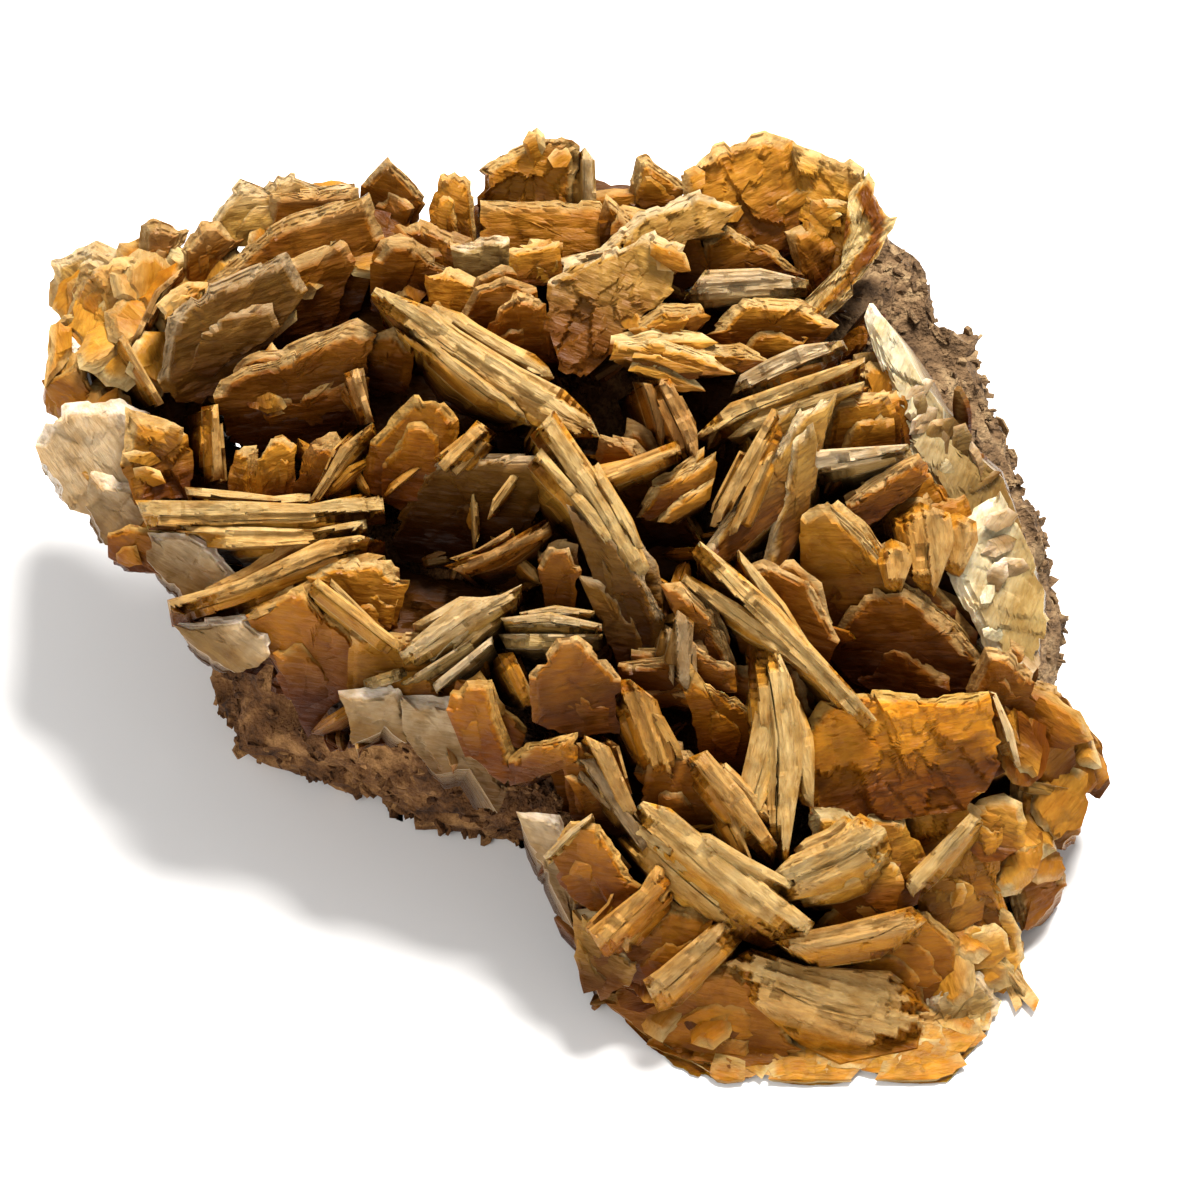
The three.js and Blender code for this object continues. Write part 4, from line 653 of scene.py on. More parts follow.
def walls(shell, rings, tints, flow, shaped, tone, foot, rng, seed, arc, inward=1.0):
    """Carries the last ring down to the foot in thin layers, and adds the whole."""
    z_top = rings[-1][:, 2]
    drop = float(np.median(z_top)) - foot
    down, levels = 0.0, []
    while down < drop:
        thick = rng.uniform(*(THIN_LAYER if down < LAYERED_DEPTH else THICK_LAYER))
        levels.append((down, min(down + thick, drop)))
        down += thick
    for k, (d0, d1) in enumerate(levels):
        chip, _, _ = scales(arc, np.full(len(arc), 7.3 * k), 2.2, seed + 31)
        inset = min(k, 1) * (0.5 * chip + rng.uniform(0.0, 0.16))
        for d in (d0 + 0.04, d1):
            f = min(d / drop, 1.0)
            z = z_top + (foot - z_top) * f
            xy = shaped(f, inset, z)
            z = np.maximum(z, lowest_at(xy[:, 1], 0.5 - 0.2 * f))
            rings.append(np.column_stack([xy, z]))
            shade = 0.8 + 0.3 * chip
            # Painted shade: the sides darken as they go down towards the foot.
            share = np.full(len(arc), min(1.0, (0.06 + 1.1 * f) * inward))
            tints.append(toned(tone, share) * shade[:, None])
            flow.append(np.stack([arc, d * 2.5 + 0 * arc, 0 * arc + seed], axis=1))
    shell.add(rings, tints, flow)


def plate_crystal(shell, row, rng, spacing=SPACING):
    """A tabular crystal: a tilted scaly front, a rim of ledges along its crest, and layered
    sides down to a root in the crust."""
    habit, tone, depth = row[0], row[1], row[5]
    outline, middle, slope, front = read_row(row)
    reach = float(np.hypot(*(outline - middle).T).mean())
    share = ROOT_SHARE[habit]
    inward = float(np.clip((1.1 - outness(*middle)) / 0.4, 0.25, 1))
    steep = float(np.hypot(*slope))
    root = middle - slope * reach * (1 - share) / max(steep, 0.5)
    foot = min(front + (root - middle) @ slope - depth, crust_at(*root) - ROOT_SUNK)
    uphill = slope / max(steep, 0.05)
    if steep < 0.05:
        uphill = np.array([0.0, 1.0])
    level = np.array([uphill[1], -uphill[0]])
    crest = float(((outline - middle) @ uphill).max())
    span = crest - float(((outline - middle) @ uphill).min())
    seed = int(rng.integers(1, 5000))
    border, arc = border_of(outline, spacing)
    # Chipped border: whole lengths of the edge are set back a little.
    chip, _, _ = scales(arc, 0 * arc + 3.0, 1.9, seed + 21)
    nick, _, _ = scales(arc, 0 * arc + 5.0, 0.8, seed + 23)
    off = border - middle
    far = np.maximum(np.hypot(*off.T), 0.4)
    deep_in = min(0.8, 0.13 * reach) if reach > 3 else 0.08 * reach
    back = deep_in * np.maximum(chip - 0.4, 0) / 0.6 + 0.25 * np.maximum(nick - 0.5, 0)
    off = off * (1 - np.minimum(back / far, 0.35))[:, None]
    rim = rng.uniform(*RIM_WIDTH) if reach > 2.5 else 0.3 * reach
    steps = [0.0]
    if tone == "mottled":
        habit = "shingle"
    wide_step = spacing * (1.5 if habit == "plate" else 0.85)
    while steps[-1] < 0.93 * reach:
        steps.append(steps[-1] + (0.6 * spacing if steps[-1] < rim + 0.3 else wide_step))
    rings, tints, flow = [], [], []
    twist = rng.normal(0, 0.05, 2)
    hue = rng.uniform(0.9, 1.08)
    ledge = rng.uniform(*LEDGE_WIDTH)
    for step in steps[::-1]:
        xy = middle + off * max(1 - step / reach, 0.03)
        inside, way = edge_of(xy, outline)
        a, b = (xy - middle) @ level, (xy - middle) @ uphill
        height, shade = relief(a, b, 1.7, habit, seed)
        crestward = np.clip(1.6 * (way @ uphill) + 0.25 + 2.0 * (1 - inward), 0, 1)
        if habit == "cup":
            crestward = np.ones(len(a))
        strip, _, _ = scales(a, 0 * a + 9.0, 1.9, seed + 41)
        into = np.clip(rim + 0.5 * (strip - 0.5) - inside, 0, None)
        fallen = np.ceil(into / ledge) * ledge * 1.15 * crestward
        edge_drop = 0.35 * np.clip(0.35 - inside, 0, 1)
        near = np.clip(inside / 0.6, 0, 1)
        z = front + (xy - middle) @ (slope + twist) + height * (0.35 + 0.65 * near) - fallen - edge_drop
        z = np.maximum(z, lowest_at(xy[:, 1], 1.0) + 0.4 * height)
        rings.append(np.column_stack([xy, z]))
        # Painted shade: the face darkens from its crest down towards its root, less for crystals out near
        # the rim, and the crest rim keeps the pale edge colour.
        below = np.clip((crest - b) / max(span, 5.0), 0, 1)
        on_rim = np.clip(into / 0.3, 0, 1) * crestward
        t = np.clip(below * 1.15 * inward * (1 - on_rim) + 0.02, 0, 1)
        number = np.round(into / ledge).astype(np.int64)
        stripe = 0.88 + 0.24 * hashed(number, 0 * number, seed)
        # Painted highlight: a brighter line along the very edge on the crest side.
        painted_highlight = 1 + 0.22 * np.clip(1 - inside / 0.35, 0, 1) * crestward
        tints.append(toned(tone, t) * (shade * hue * painted_highlight * (1 + on_rim * (stripe - 1)))[:, None])
        flow.append(np.stack([a + seed, b, z], axis=1))

    def shaped(f, inset, _):
        centre = middle + (root - middle) * f
        return centre + off * (1 - np.minimum(inset / far, 0.4))[:, None] * (1 - (1 - share) * f)

    walls(shell, rings, tints, flow, shaped, tone, foot, rng, seed, arc, inward)


def blade_crystal(shell, row, rng, spacing=SPACING):
    """A blade seen on its crest: a pale crest band, partly a painted highlight, long upright layers beside
    it with staggered ends, and a face that falls away below them, darker with painted shade."""
    tone, depth = row[1], row[5]
    outline, middle, slope, front = read_row(row)
    border, arc = border_of(outline, spacing)
    _, _, axes = np.linalg.svd(border - border.mean(axis=0), full_matrices=False)
    along, across = axes[0], np.array([-axes[0][1], axes[0][0]])
    if across[1] < 0:
        across, along = -across, -along
    u, v = (border - middle) @ along, (border - middle) @ across
    low, high = float(v.min()), float(v.max())
    width, long = high - low, float(u.max() - u.min())
    foot = min(front - depth, float(crust_at(*middle)) - ROOT_SUNK)
    seed = int(rng.integers(1, 5000))
    half = min(0.5 * width, 0.45 * long)
    core_u = np.clip(u, u.min() + half, u.max() - half)
    core_v = np.array([spine_at(u, v, at) for at in core_u])
    # The layers, each with its own height and its own two ends.
    best = low + width * rng.uniform(0.55, 0.85)
    fall_from = low + width * rng.uniform(0.15, 0.5)
    cuts, at = [], low - 0.1
    while at < high:
        at += rng.uniform(*BLADE_LAYER)
        cuts.append(at)
    cuts = np.array(cuts)
    mids = np.concatenate([[low], (cuts[:-1] + cuts[1:]) / 2, [high]])
    apart = np.abs(mids - best) / width
    levels = -apart * rng.uniform(1.2, 2.2) - rng.uniform(0, 0.35, len(mids))

    def set_back():
        return rng.uniform(0.0, 0.16, len(mids)) + 0.38 * apart * rng.uniform(0.4, 1.3, len(mids))

    starts = u.min() + long * set_back()
    ends = u.max() - long * set_back()
    first = np.argmin(apart)
    starts[first], ends[first] = u.min() - 1, u.max() + 1
    cells = rng.uniform(2.0, 6.0, len(mids))
    count = max(3, int(half / (0.5 * spacing)))
    rings, tints, flow = [], [], []
    hue = rng.uniform(0.92, 1.08)
    for k in range(count + 1):
        share = 0.04 + 0.96 * k / count
        pu, pv = core_u + (u - core_u) * share, core_v + (v - core_v) * share
        wavy = 0.10 * (grain(np.stack([pu, 0 * pu, 0 * pu], axis=1), 3.0, seed) - 0.5)
        which = np.clip(np.searchsorted(cuts, pv + wavy), 0, len(mids) - 1)
        past = np.clip(np.maximum(starts[which] - pu, pu - ends[which]), 0, None)
        ends_drop = np.minimum(np.ceil(past / 0.8) * 1.1, 5.0)
        cell = np.floor(pu / cells[which]).astype(np.int64)
        ledge = 0.45 * hashed(cell, which, seed + 1)
        nick = hashed(np.floor(pu / 1.3).astype(np.int64), which, seed + 2)
        chip = 0.45 * np.maximum(nick - 0.78, 0) / 0.22
        rough, shade = relief(pv, pu, 4.0, "blade", seed)
        fall = np.clip(fall_from - pv, 0, None)
        tip = np.clip(np.minimum(pu - u.min(), u.max() - pu) / (0.1 * long + 0.5), 0, 1)
        z = (
            front + np.outer(pu, along) @ slope + np.outer(pv, across) @ slope
            + levels[which] - ends_drop - ledge - chip + 0.5 * rough - 0.9 * fall
            - (1 - tip) ** 1.5 * min(1.8, 0.18 * long)
        )
        edge_drop = 0.25 * (k == count)
        xy = middle + np.outer(pu, along) + np.outer(pv, across)
        z = np.maximum(z, lowest_at(xy[:, 1], 1.2) + 0.4 * rough)
        rings.append(np.column_stack([xy, z - edge_drop]))
        # Painted shade: layers lower than the top one, ends that drop away and the falling face are
        # darker.
        painted_shade_share = 0.04 + 0.16 * apart[which] + 0.03 * ledge + 0.12 * ends_drop
        painted_shade_share = np.clip(painted_shade_share + 0.5 * fall / max(width * 0.5, 1), 0, 1)
        bright = 0.9 + 0.2 * hashed(which, 0 * cell, seed + 4)
        tints.append(toned(tone, painted_shade_share) * (bright * shade * hue)[:, None])
        flow.append(np.stack([pu + seed, pv * 1.4, z], axis=1))
    last = rings[-1]

    def shaped(f, inset, z):
        below = last[:, 2] - z
        keep = 1 - np.minimum(inset / max(half, 0.5), 0.4)
        pu = core_u + (u - core_u) * keep
        pu = pu * (1 - 0.24 * f)
        pv = core_v + (v - core_v) * keep * (1 - 0.35 * f) - 0.22 * below
        return middle + np.outer(pu, along) + np.outer(pv, across)

    walls(shell, rings, tints, flow, shaped, tone, foot, rng, seed, arc)


def axes_at(angle):
    """The direction at the angle, and the one square to it."""
    c, s = math.cos(angle), math.sin(angle)
    return np.array([c, s]), np.array([-s, c])


def turned(outline, middle, angle, share, shift):
    """The outline turned about its middle, made smaller and shifted."""
    return middle + shift + ((outline - middle) * share) @ np.array(axes_at(angle))


def sisters(shell, row, rng):
    """Smaller crystals grown beside a large one, nearly parallel to it."""
    habit, tone, rise, slope_x, slope_y, depth, _ = row
    outline, middle, slope, front_there = read_row(row)
    reach = float(np.hypot(*(outline - middle).T).mean())
    if habit in ALONE_HABITS or tone in ALONE_TONES or reach < 1.8:
        return
    uphill = slope / max(float(np.hypot(*slope)), 0.05)
    inner = outness(*middle) < 0.62
    if habit == "blade":
        _, _, axes = np.linalg.svd(outline - middle, full_matrices=False)
        across = np.array([-axes[0][1], axes[0][0]])
        wide = float(np.abs((outline - middle) @ across).max())
        for side in (-1, 1)[: 2 if inner else 0]:
            shift = across * side * wide * rng.uniform(0.5, 0.9) + axes[0] * reach * rng.normal(0, 0.25)
            part = turned(outline, middle, rng.normal(0, 0.16), rng.uniform(0.5, 0.8), shift)
            blade_crystal(shell, (
                habit, tone, rise - rng.uniform(0.8, 2.6), slope_x, slope_y, depth, part.ravel(),
            ), rng, COARSE)
        return
    for _ in range(rng.integers(1, 3) if inner else 0):
        shift = uphill * rng.uniform(0.12, 0.3) * reach + rng.normal(0, 0.12, 2) * reach
        part = turned(outline, middle, rng.normal(0, 0.16), rng.uniform(0.6, 0.92), shift)
        plate_crystal(shell, (
            habit, tone, rise - rng.uniform(0.9, 2.6), slope_x + rng.normal(0, 0.08),
            slope_y + rng.normal(0, 0.08), depth, part.ravel(),
        ), rng, COARSE)
    # Thin plates that stand on the lower part of the face.
    for _ in range(rng.integers(0, 2) if reach < 4.5 else rng.integers(1, 3)):
        share = rng.uniform(0.45, 0.75)
        shift = -uphill * rng.uniform(0.15, 0.35) * reach + rng.normal(0, 0.14, 2) * reach
        part = turned(outline, middle, rng.normal(0, 0.14), share, shift)
        local = part.mean(axis=0)
        front = front_there + (local - middle) @ slope
        over = front + ((part - local) @ slope).max() - crest_at(*local) + rng.uniform(0.15, 0.6)
        plate_crystal(shell, (
            habit, tone, over, slope_x + rng.normal(0, 0.07), slope_y + rng.normal(0, 0.07), 1.0,
            part.ravel(),
        ), rng, COARSE)


def flakes(shell, row, rng):
    """Small plates grown over a rough sheet, each at its own slant."""
    habit, tone = row[:2]
    if habit not in ("sheet", "shingle"):
        return
    outline, middle, slope, front = read_row(row)
    tones = ["white", "silver", "white", "ash"] if habit == "sheet" else [tone, "gold", "cream"]
    for _ in range(SHEET_FLAKES if habit == "sheet" else SHINGLE_FLAKES):
        corner = outline[rng.integers(len(outline))]
        spot = middle + (corner - middle) * rng.uniform(0.1, 0.85)
        way, side = axes_at(rng.uniform(0, math.pi))
        long, wide = rng.uniform(*FLAKE_LONG), rng.uniform(*FLAKE_WIDE)
        part = np.array([spot + way * long * a + side * wide * b for a, b in FLAKE])
        lean = slope + rng.normal(0, 0.3, 2)
        local = part.mean(axis=0)
        over = front + (local - middle) @ slope - crest_at(*local) + ((part - local) @ lean).max()
        plate_crystal(shell, (
            "plate", tones[rng.integers(len(tones))], over + rng.uniform(0, 0.5), *lean, 1.0, part.ravel(),
        ), rng, 1.0)


def spot_on(patch, rng, most):
    """A random place on the patch, up to the given share of the way to its border."""
    middle, outline = np.array(patch[0]), points_of(patch[1])
    i = rng.integers(len(outline))
    on_edge = outline[i] + (outline[(i + 1) % len(outline)] - outline[i]) * rng.random()
    return middle + (on_edge - middle) * (rng.random() ** 0.5 * most)


def strays(shell, patch, rng):
    """Small blades that cross between the large crystals."""
    for _ in range(STRAY_COUNT):
        spot = spot_on(patch, rng, 0.9)
        if outness(*spot) > 0.45:
            continue
        long, wide = rng.uniform(*STRAY_LONG), rng.uniform(*STRAY_WIDE)
        way, side = axes_at(rng.uniform(0, math.pi))
        part = np.array([spot + way * long * a + side * wide * b for a, b in SPLINTER])
        tone = SMALL_TONES[rng.integers(4)]
        blade_crystal(shell, (
            "blade", tone, rng.uniform(-5.0, -0.6), *rng.normal(0, 0.35, 2), 7, part.ravel(),
        ), rng, COARSE)


def fringe(shell, patch, rng):
    """Thin petals in tiers, the inner over the outer, that hang over the rim of the crust."""
    middle, outline = patch
    corners = evenly(anticlockwise(points_of(outline)), PETAL_STEP)
    for tier in range(PETAL_TIERS):
        for i in range(len(corners)):
            a, b = corners[i - 1], corners[(i + 1) % len(corners)]
            spot = corners[i] + (b - corners[i]) * TIER_ALONG * tier
            if outness(*spot) < 0.7 or rng.random() < PETAL_GAPS:
                continue
            way = (b - a) / max(float(np.hypot(*(b - a))), 0.1)
            out = np.array([way[1], -way[0]])
            skew = rng.normal(0, 0.45)
            c, s = math.cos(skew), math.sin(skew)
            out, way = out * c + way * s, way * c - out * s
            wide, long = rng.uniform(*PETAL_WIDE), rng.uniform(*PETAL_LONG)
            at = spot - out * (long - 0.5 + TIER_IN * tier)
            fan = np.linspace(0, 2 * math.pi, rng.integers(7, 10), endpoint=False)
            part = np.array([
                at + way * wide * math.cos(t) * rng.uniform(0.8, 1.1)
                + out * long * math.sin(t) * rng.uniform(0.8, 1.1) for t in fan
            ])
            away = part - middle
            far = np.hypot(*away.T)
            angle = np.arctan2(away[:, 1], away[:, 0])
            edge = reach_at(np.array(middle, dtype=float), outline, angle) + PETAL_OVERHANG
            part = np.array(middle) + away * np.minimum(1, edge / far)[:, None]
            tone = PETAL_TONES[rng.integers(4)]
            plate_crystal(shell, (
                "plate", tone, rng.uniform(-4.6, -3.4) + TIER_UP * tier,
                *(-out * rng.uniform(0.1, 0.5) + way * rng.normal(0, 0.25)), 1.2, part.ravel(),
            ), rng, COARSE)


def spine_at(u, v, level):
    """The middle of the outline across the blade at a place along it."""
    hits = []
    for i in range(len(u)):
        j = (i + 1) % len(u)
        if (u[i] - level) * (u[j] - level) <= 0 and u[i] != u[j]:
            t = (level - u[i]) / (u[j] - u[i])
            hits.append(v[i] + t * (v[j] - v[i]))
    return (min(hits) + max(hits)) / 2 if len(hits) > 1 else 0.0


def reach_at(middle, outline, angle):
    """How far the outline lies from its middle in the directions of the angles."""
    corners = points_of(outline)
    best = np.zeros(len(angle))
    dx, dy = np.cos(angle), np.sin(angle)
    for i in range(len(corners)):
        ax, ay = corners[i] - middle
        bx, by = corners[(i + 1) % len(corners)] - middle
        ex, ey = bx - ax, by - ay
        det = dx * ey - dy * ex
        det = np.where(np.abs(det) < 1e-9, 1e-9, det)
        t = (ax * ey - ay * ex) / det
        s = (ax * dy - ay * dx) / det
        best = np.where((t > 0) & (s >= -1e-6) & (s <= 1 + 1e-6), np.maximum(best, t), best)
    return best


def lump_rings(middle, outline, rows, turns):
    """Rings from the front to the back of a lump, as a grid of points."""
    angle = 2 * math.pi * np.arange(turns) / turns
    reach = reach_at(np.array(middle, dtype=float), outline, angle)
    grid = []
    for share, height in rows:
        x = middle[0] + share * reach * np.cos(angle)
        y = middle[1] + share * reach * np.sin(angle)
        grid.append(np.column_stack([x, y, height(x, y) + 0 * x]))
    return grid


def blend_rows(rows, parts):
    """More rows between the given ones."""
    out = []
    for (s0, h0), (s1, h1) in zip(rows, rows[1:]):
        for k in range(parts):
            t = k / parts
            out.append((
                s0 + (s1 - s0) * t,
                lambda x, y, t=t, h0=h0, h1=h1: h0(x, y) * (1 - t) + h1(x, y) * t,
            ))
    out.append(rows[-1])
    return out


def patch_mesh(shell, patch):
    """The lump of crust under a group of crystals, lighter at its front."""
    middle, outline = patch

    def surface(x, y):
        return crust_at(x, y) + 0.8 * lumps(x, y, 0, 9)

    def rim(x, y):
        return surface(x, y) - 2.5

    def under(x, y):
        return crust_at(x, y) - CRUST_THICK

    rows = [(0.01, surface), (0.6, surface), (0.86, rim), (0.7, under), (0.01, under)]
    grid = lump_rings(middle, outline, blend_rows(rows, PATCH_PARTS), PATCH_TURNS)
    pale, underside_brown = linear("9a7038"), linear("5a3a1c")
    tints = []
    for k, ring in enumerate(grid):
        n = grain(ring, 3.2, 1) * 0.6 + grain(ring, 1.1, 2) * 0.4
        inward = np.array(middle) - ring[:, :2]
        ring[:, :2] += inward * (n[:, None] - 0.4) * 0.22
        ring[:, 2] += (n - 0.5) * 3.0
        # The colour goes from pale on the lump's top to dark brown on its underside.
        t = min(1.0, k / (len(grid) * 0.75))
        tints.append(np.tile(pale * (1 - t) + underside_brown * t, (len(ring), 1)) * (0.6 + 0.8 * n)[:, None])
    shell.add(grid, tints, grid)


def druse(shell, patch, rng):
    """Small tablets that stand on the crust between the large crystals and round its rim."""
    for _ in range(DRUSE_COUNT):
        spot = spot_on(patch, rng, 0.97)
        if outness(*spot) > 0.85:
            continue
        size = rng.uniform(*DRUSE_SIZE)
        height = rng.uniform(*DRUSE_HEIGHT)
        turn = rng.uniform(0, math.pi)
        tone = SMALL_TONES[rng.integers(4)]
        ground = float(crust_at(*spot)) - 1.5
        tilt = rng.normal(0, 0.4, 2)
        for k in range(rng.integers(1, 4)):
            along, across = axes_at(turn + rng.normal(0, 0.25))
            w = rng.uniform(0.35, 0.8)
            shift = (k - 1) * 0.6
            top = height * rng.uniform(0.7, 1.0)
            half = size * rng.uniform(0.7, 1.0)
            prof = np.array([
                (half * 0.75, top), (half * 0.1, top * rng.uniform(0.95, 1.05)),
                (-half * 0.7, top * rng.uniform(0.85, 1.0)), (-half, top * 0.72),
                (-half * 0.7, -1.0), (half * 0.7, -1.0), (half, top * 0.75),
            ])
            rings, tints = [], []
            shade = rng.uniform(0.7, 1.05)
            # Painted shade: each tablet darkens from its top down to the crust.
            colour = toned(tone, np.clip(1.1 * (1 - prof[:, 1] / height), 0, 1)) * shade
            for vv, c in ((w / 2, 0.16), (w / 2 - 0.1, 0.0), (-w / 2 + 0.1, 0.0), (-w / 2, 0.16)):
                p = prof * np.array([1 - c / size, 1.0])
                p[:, 1] -= np.where(p[:, 1] > 0, c, 0)
                xy = spot + np.outer(p[:, 0], along) + (vv + shift) * across
                xy = xy + np.outer(p[:, 1], tilt)
                rings.append(np.column_stack([xy, ground + p[:, 1]]))
                tints.append(colour)
            shell.add(rings, tints, rings)


def node(tree, kind, sockets=(), **settings):
    """A new node with its settings, and each named socket given a value or linked."""
    made = tree.nodes.new("ShaderNode" + kind)
    for name, value in settings.items():
        setattr(made, name, value)
    fill(tree, made, dict(sockets))
    return made


def fill(tree, made, sockets):
    for socket, value in sockets.items():
        if isinstance(value, bpy.types.NodeSocket):
            tree.links.new(value, made.inputs[socket])
        else:
            made.inputs[socket].default_value = value


def multiply(tree, a, b, factor=1.0):
    mix = node(tree, "Mix", {0: factor, 6: a, 7: b}, data_type="RGBA", blend_type="MULTIPLY")
    return mix.outputs[2]


def ramp_of(tree, source, stops):
    ramp = node(tree, "ValToRGB", {"Fac": source})
    elements = ramp.color_ramp.elements
    for index, (position, colour) in enumerate(stops):
        stop = elements[index] if index < 2 else elements.new(position)
        stop.position = position
        stop.color = (*colour, 1)
    return ramp.outputs["Color"]


def noise(tree, where, scale, detail, rough=0.5):
    made = node(tree, "TexNoise", {
        "Vector": where, "Scale": scale, "Detail": detail, "Roughness": rough,
    })
    return made.outputs["Fac"]


def stretched(tree, where, scale):
    return node(tree, "Mapping", {"Vector": where, "Scale": scale}).outputs["Vector"]


def facets(tree, where):
    """A height that slopes its own way across each cell, so that each catches the light."""
    cells = node(tree, "TexVoronoi", {"Vector": where, "Scale": 0.8})
    across = node(tree, "VectorMath", {0: where, 1: cells.outputs["Position"]}, operation="SUBTRACT")
    tilt = node(tree, "VectorMath", {0: cells.outputs["Color"], 1: (0.5, 0.5, 0.5)}, operation="SUBTRACT")
    slope = node(tree, "VectorMath", {0: across.outputs[0], 1: tilt.outputs[0]}, operation="DOT_PRODUCT")
    return slope.outputs["Value"]


def scaled_sum(tree, value, factor, base):
    return node(tree, "Math", {0: value, 1: factor, 2: base}, operation="MULTIPLY_ADD").outputs[0]


def bumped(tree, height, strength, distance):
    made = node(tree, "Bump", {"Strength": strength, "Distance": distance, "Height": height})
    return made.outputs["Normal"]


def new_material(name):
    material = bpy.data.materials.new(name)
    material.use_nodes = True
    tree = material.node_tree
    flow = node(tree, "Attribute", attribute_name="flow").outputs["Vector"]
    return material, tree, tree.nodes["Principled BSDF"], flow


# How fine each pattern is along, across and into a crystal's layers.
LINE_SCALE, GAP_SCALE, SMALL_SCALE = (0.35, 1.7, 1.6), (0.22, 1.9, 1.9), (0.9, 3.4, 2.6)


def crystal_material(name):
    material, tree, shader, flow = new_material(name)
    tint = node(tree, "Attribute", attribute_name="tint").outputs["Vector"]
    # Fine growth lines along each layer, and thin dark gaps between the layers.
    lines_at = stretched(tree, flow, LINE_SCALE)
    lines = noise(tree, lines_at, 1.0, 6.0, 0.6)
    gap = noise(tree, stretched(tree, flow, GAP_SCALE), 1.0, 4.0, 0.65)
    clouds = ramp_of(tree, noise(tree, flow, 0.4, 6.0, 0.6), [
        (0.34, (0.74, 0.62, 0.42)), (0.58, (1.04, 1.03, 0.98)),
    ])
    streaks = ramp_of(tree, lines, [(0.36, (0.86, 0.82, 0.72)), (0.6, (1.05, 1.05, 1.02))])
    gaps = ramp_of(tree, gap, [(0.36, (0.50, 0.36, 0.20)), (0.40, (1.0, 1.0, 1.0))])
    colour = multiply(tree, tint, clouds)
    colour = multiply(tree, colour, streaks, 0.7)
    colour = multiply(tree, colour, gaps, 0.35)
    height = scaled_sum(tree, facets(tree, lines_at), 1.3, lines)
    height = scaled_sum(tree, facets(tree, stretched(tree, flow, SMALL_SCALE)), 0.5, height)
    fill(tree, shader, {
        "Base Color": colour, "Normal": bumped(tree, height, 0.9, 0.0003), "Roughness": 0.34,
        "Specular IOR Level": 0.1, "Subsurface Weight": 0.25,
        "Subsurface Radius": (1.0, 0.5, 0.18), "Subsurface Scale": 0.0006,
    })
    return material


def rock_material(name):
    material, tree, shader, flow = new_material(name)
    coarse = noise(tree, flow, 0.22, 8.0, 0.7)
    ruddy = ramp_of(tree, coarse, [
        (0.36, (0.028, 0.010, 0.003)), (0.66, (0.42, 0.215, 0.075)), (0.5, (0.150, 0.062, 0.018)),
    ])
    tan = ramp_of(tree, coarse, [
        (0.34, (0.040, 0.020, 0.008)), (0.68, (0.40, 0.27, 0.135)), (0.5, (0.17, 0.098, 0.045)),
    ])
    # Reddish at the left, tan at the right.
    across = node(tree, "SeparateXYZ", {0: flow}).outputs["X"]
    side = node(tree, "MapRange", {"Value": across, "From Min": -5.0, "From Max": 30.0}).outputs[0]
    colour = node(tree, "Mix", {0: side, 6: ruddy, 7: tan}, data_type="RGBA").outputs[2]
    fill(tree, shader, {
        "Base Color": colour, "Normal": bumped(tree, noise(tree, flow, 1.7, 6.0), 1.0, 0.0012),
        "Roughness": 0.92, "Specular IOR Level": 0.25,
    })
    return material


def rock_mesh(rng):
    """The rock: a rough lump cut flat where it lies, pitted, with crumbs on it."""

    def rough(x, y, z):
        return 1.3 * lumps(x, y, z, 15) + 0.7 * lumps(y, x, z, 6)

    def top(x, y):
        return crust_at(x, y) - ROCK_DEPTH + rough(x, y, 0)

    def shoulder(x, y):
        return top(x, y) - 3

    def at(z):
        return lambda x, y: z + rough(x, y, z)

    rows = [
        (0.004, top), (0.4, top), (0.72, top), (0.9, shoulder),
        (0.99, at(ROCK_RIM + 4)), (1, at(ROCK_RIM - 2)), (0.95, at(ROCK_RIM - 10)),
        (0.72, at(ROCK_RIM - 18)), (0.4, at(ROCK_BACK + 2)), (0.004, lambda x, y: ROCK_BACK + 0 * x),
    ]
    grid = lump_rings(ROCK_MIDDLE, ROCK_OUTLINE, blend_rows(rows, ROCK_PARTS), ROCK_TURNS)
    shell = Shell()
    for ring in grid:
        n = 0.45 * grain(ring, 5.5, 3) + 0.3 * grain(ring, 2.1, 4) + 0.25 * grain(ring, 1.0, 5)
        pits = np.clip(grain(ring, 2.8, 6) - 0.56, 0, 1) * ROCK_PITS
        move = (n - 0.5) * ROCK_LUMPS - pits
        out = ring - ROCK_CORE
        out /= np.maximum(np.linalg.norm(out, axis=1), 1)[:, None]
        ring += out * move[:, None]
    shell.add(grid, [np.ones_like(ring) for ring in grid], grid)
    rubble(shell, grid, rng)
    return shell.finish("matrix_rock", low=0.0)


def rubble(shell, grid, rng):
    """Crumbs and small broken plates that stick out of the rock."""
    for _ in range(CRUMBS):
        ring = grid[rng.integers(BARE_RINGS, len(grid) - BARE_RINGS)]
        i = rng.integers(len(ring))
        at = ring[i]
        axes = np.linalg.qr(rng.normal(size=(3, 3)))[0]
        sizes = np.array([rng.uniform(0.4, 1.5), rng.uniform(0.3, 1.0), rng.uniform(0.15, 0.6)])
        n = 5
        turn = np.linspace(0, 2 * math.pi, n, endpoint=False) + rng.uniform(0, 1)
        c = rng.uniform(0.6, 1.0, n)
        flat = np.column_stack([np.cos(turn) * c, np.sin(turn) * c])
        one = at + flat[:, :1] * sizes[0] * axes[0] + flat[:, 1:] * sizes[1] * axes[1]
        if np.linalg.det(axes) < 0:
            one = one[::-1]
        two = one - axes[2] * sizes[2] * np.sign(np.linalg.det(axes))
        white = np.ones_like(one)
        away = rng.uniform(-3, 3)
        shell.add([one, two], [white, white], [one + away, two + away])


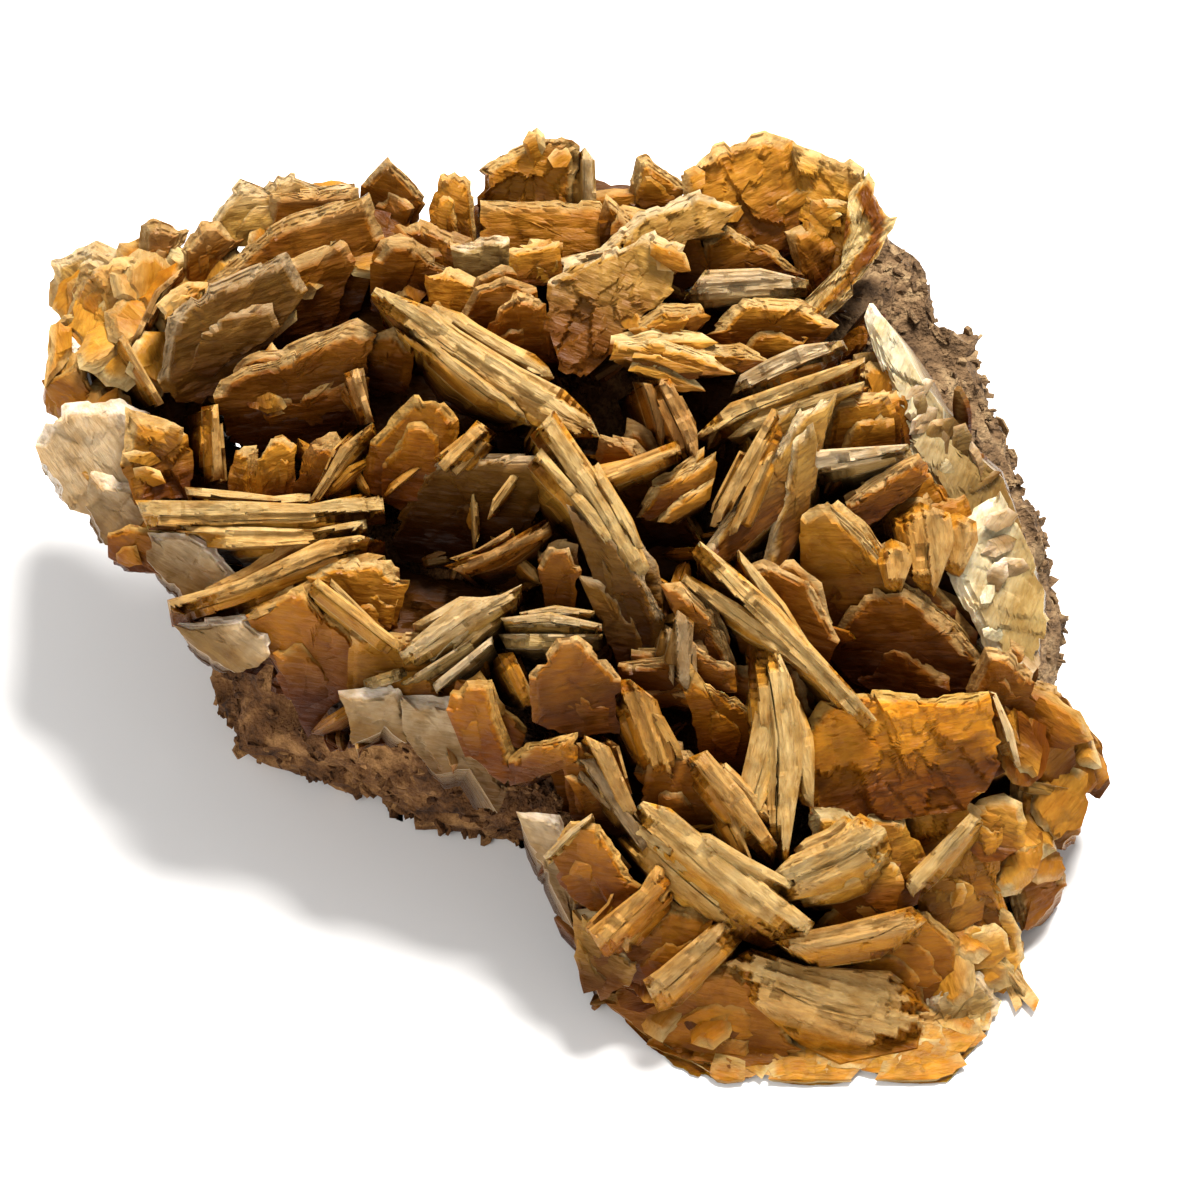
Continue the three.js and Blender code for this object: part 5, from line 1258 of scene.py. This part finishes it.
def build():
    for index, (name, rows) in enumerate(CRYSTALS.items()):
        rng = np.random.default_rng(100 + index)
        shell = Shell()
        for patch in PATCHES[name]:
            patch_mesh(shell, patch)
            druse(shell, patch, rng)
            strays(shell, patch, rng)
            if name not in BARE_RIMS:
                fringe(shell, patch, rng)
        for row in rows:
            sisters(shell, row, rng)
            flakes(shell, row, rng)
            if row[0] == "blade":
                blade_crystal(shell, row, rng)
            else:
                plate_crystal(shell, row, rng)
        piece = shell.finish(name + "_crystals")
        piece.data.materials.append(crystal_material(name + "_crystal"))
        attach(piece, "root")
        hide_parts(name)
    rock = rock_mesh(np.random.default_rng(7))
    rock.data.materials.append(rock_material("matrix_rock"))
    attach(rock, "root")
    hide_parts("matrix")


def link_new(name, data):
    made = bpy.data.objects.new(name, data)
    bpy.context.scene.collection.objects.link(made)
    return made


def lamp(name, where, size, power):
    light = bpy.data.lights.new(name, "AREA")
    light.shape = "DISK"
    light.size = size
    light.energy = power
    light.color = LAMP_COLOUR
    holder = link_new(name, light)
    holder.location = where
    way = Vector(LIT) - holder.location
    holder.rotation_euler = way.to_track_quat("-Z", "Y").to_euler()


def studio():
    mesh = bpy.data.meshes.new("floor")
    w = FLOOR_HALF
    mesh.from_pydata([(-w, -w, 0), (w, -w, 0), (w, w, 0), (-w, w, 0)], [], [(0, 1, 2, 3)])
    floor = link_new("floor", mesh)
    paper = bpy.data.materials.new("floor_paper")
    paper.use_nodes = True
    shader = paper.node_tree.nodes["Principled BSDF"]
    shader.inputs["Base Color"].default_value = (0.93, 0.93, 0.93, 1)
    shader.inputs["Roughness"].default_value = 0.9
    floor.data.materials.append(paper)

    world = bpy.data.worlds.new("studio")
    world.use_nodes = True
    sky = world.node_tree.nodes["Background"]
    sky.inputs["Color"].default_value = (1.0, 1.0, 1.0, 1)
    sky.inputs["Strength"].default_value = SKY
    bpy.context.scene.world = world
    for name, (where, size, power) in LAMPS.items():
        lamp(name, where, size, power)
    view = bpy.context.scene.view_settings
    view.view_transform = "Standard"
    view.look = "None"

    camera = link_new("camera", bpy.data.cameras.new("camera"))
    axis = (0, -math.sin(LEAN), math.cos(LEAN))
    middle = (0, 0, FACE_HEIGHT / 1000)
    camera.location = [m + EYE / 1000 * a for m, a in zip(middle, axis)]
    camera.rotation_euler = (LEAN, 0, 0)
    camera.data.sensor_fit = "HORIZONTAL"
    camera.data.angle = 2 * math.atan(PHOTO_HALF / EYE)
    camera.data.clip_start = 0.01
    bpy.context.scene.camera = camera


build()
studio()
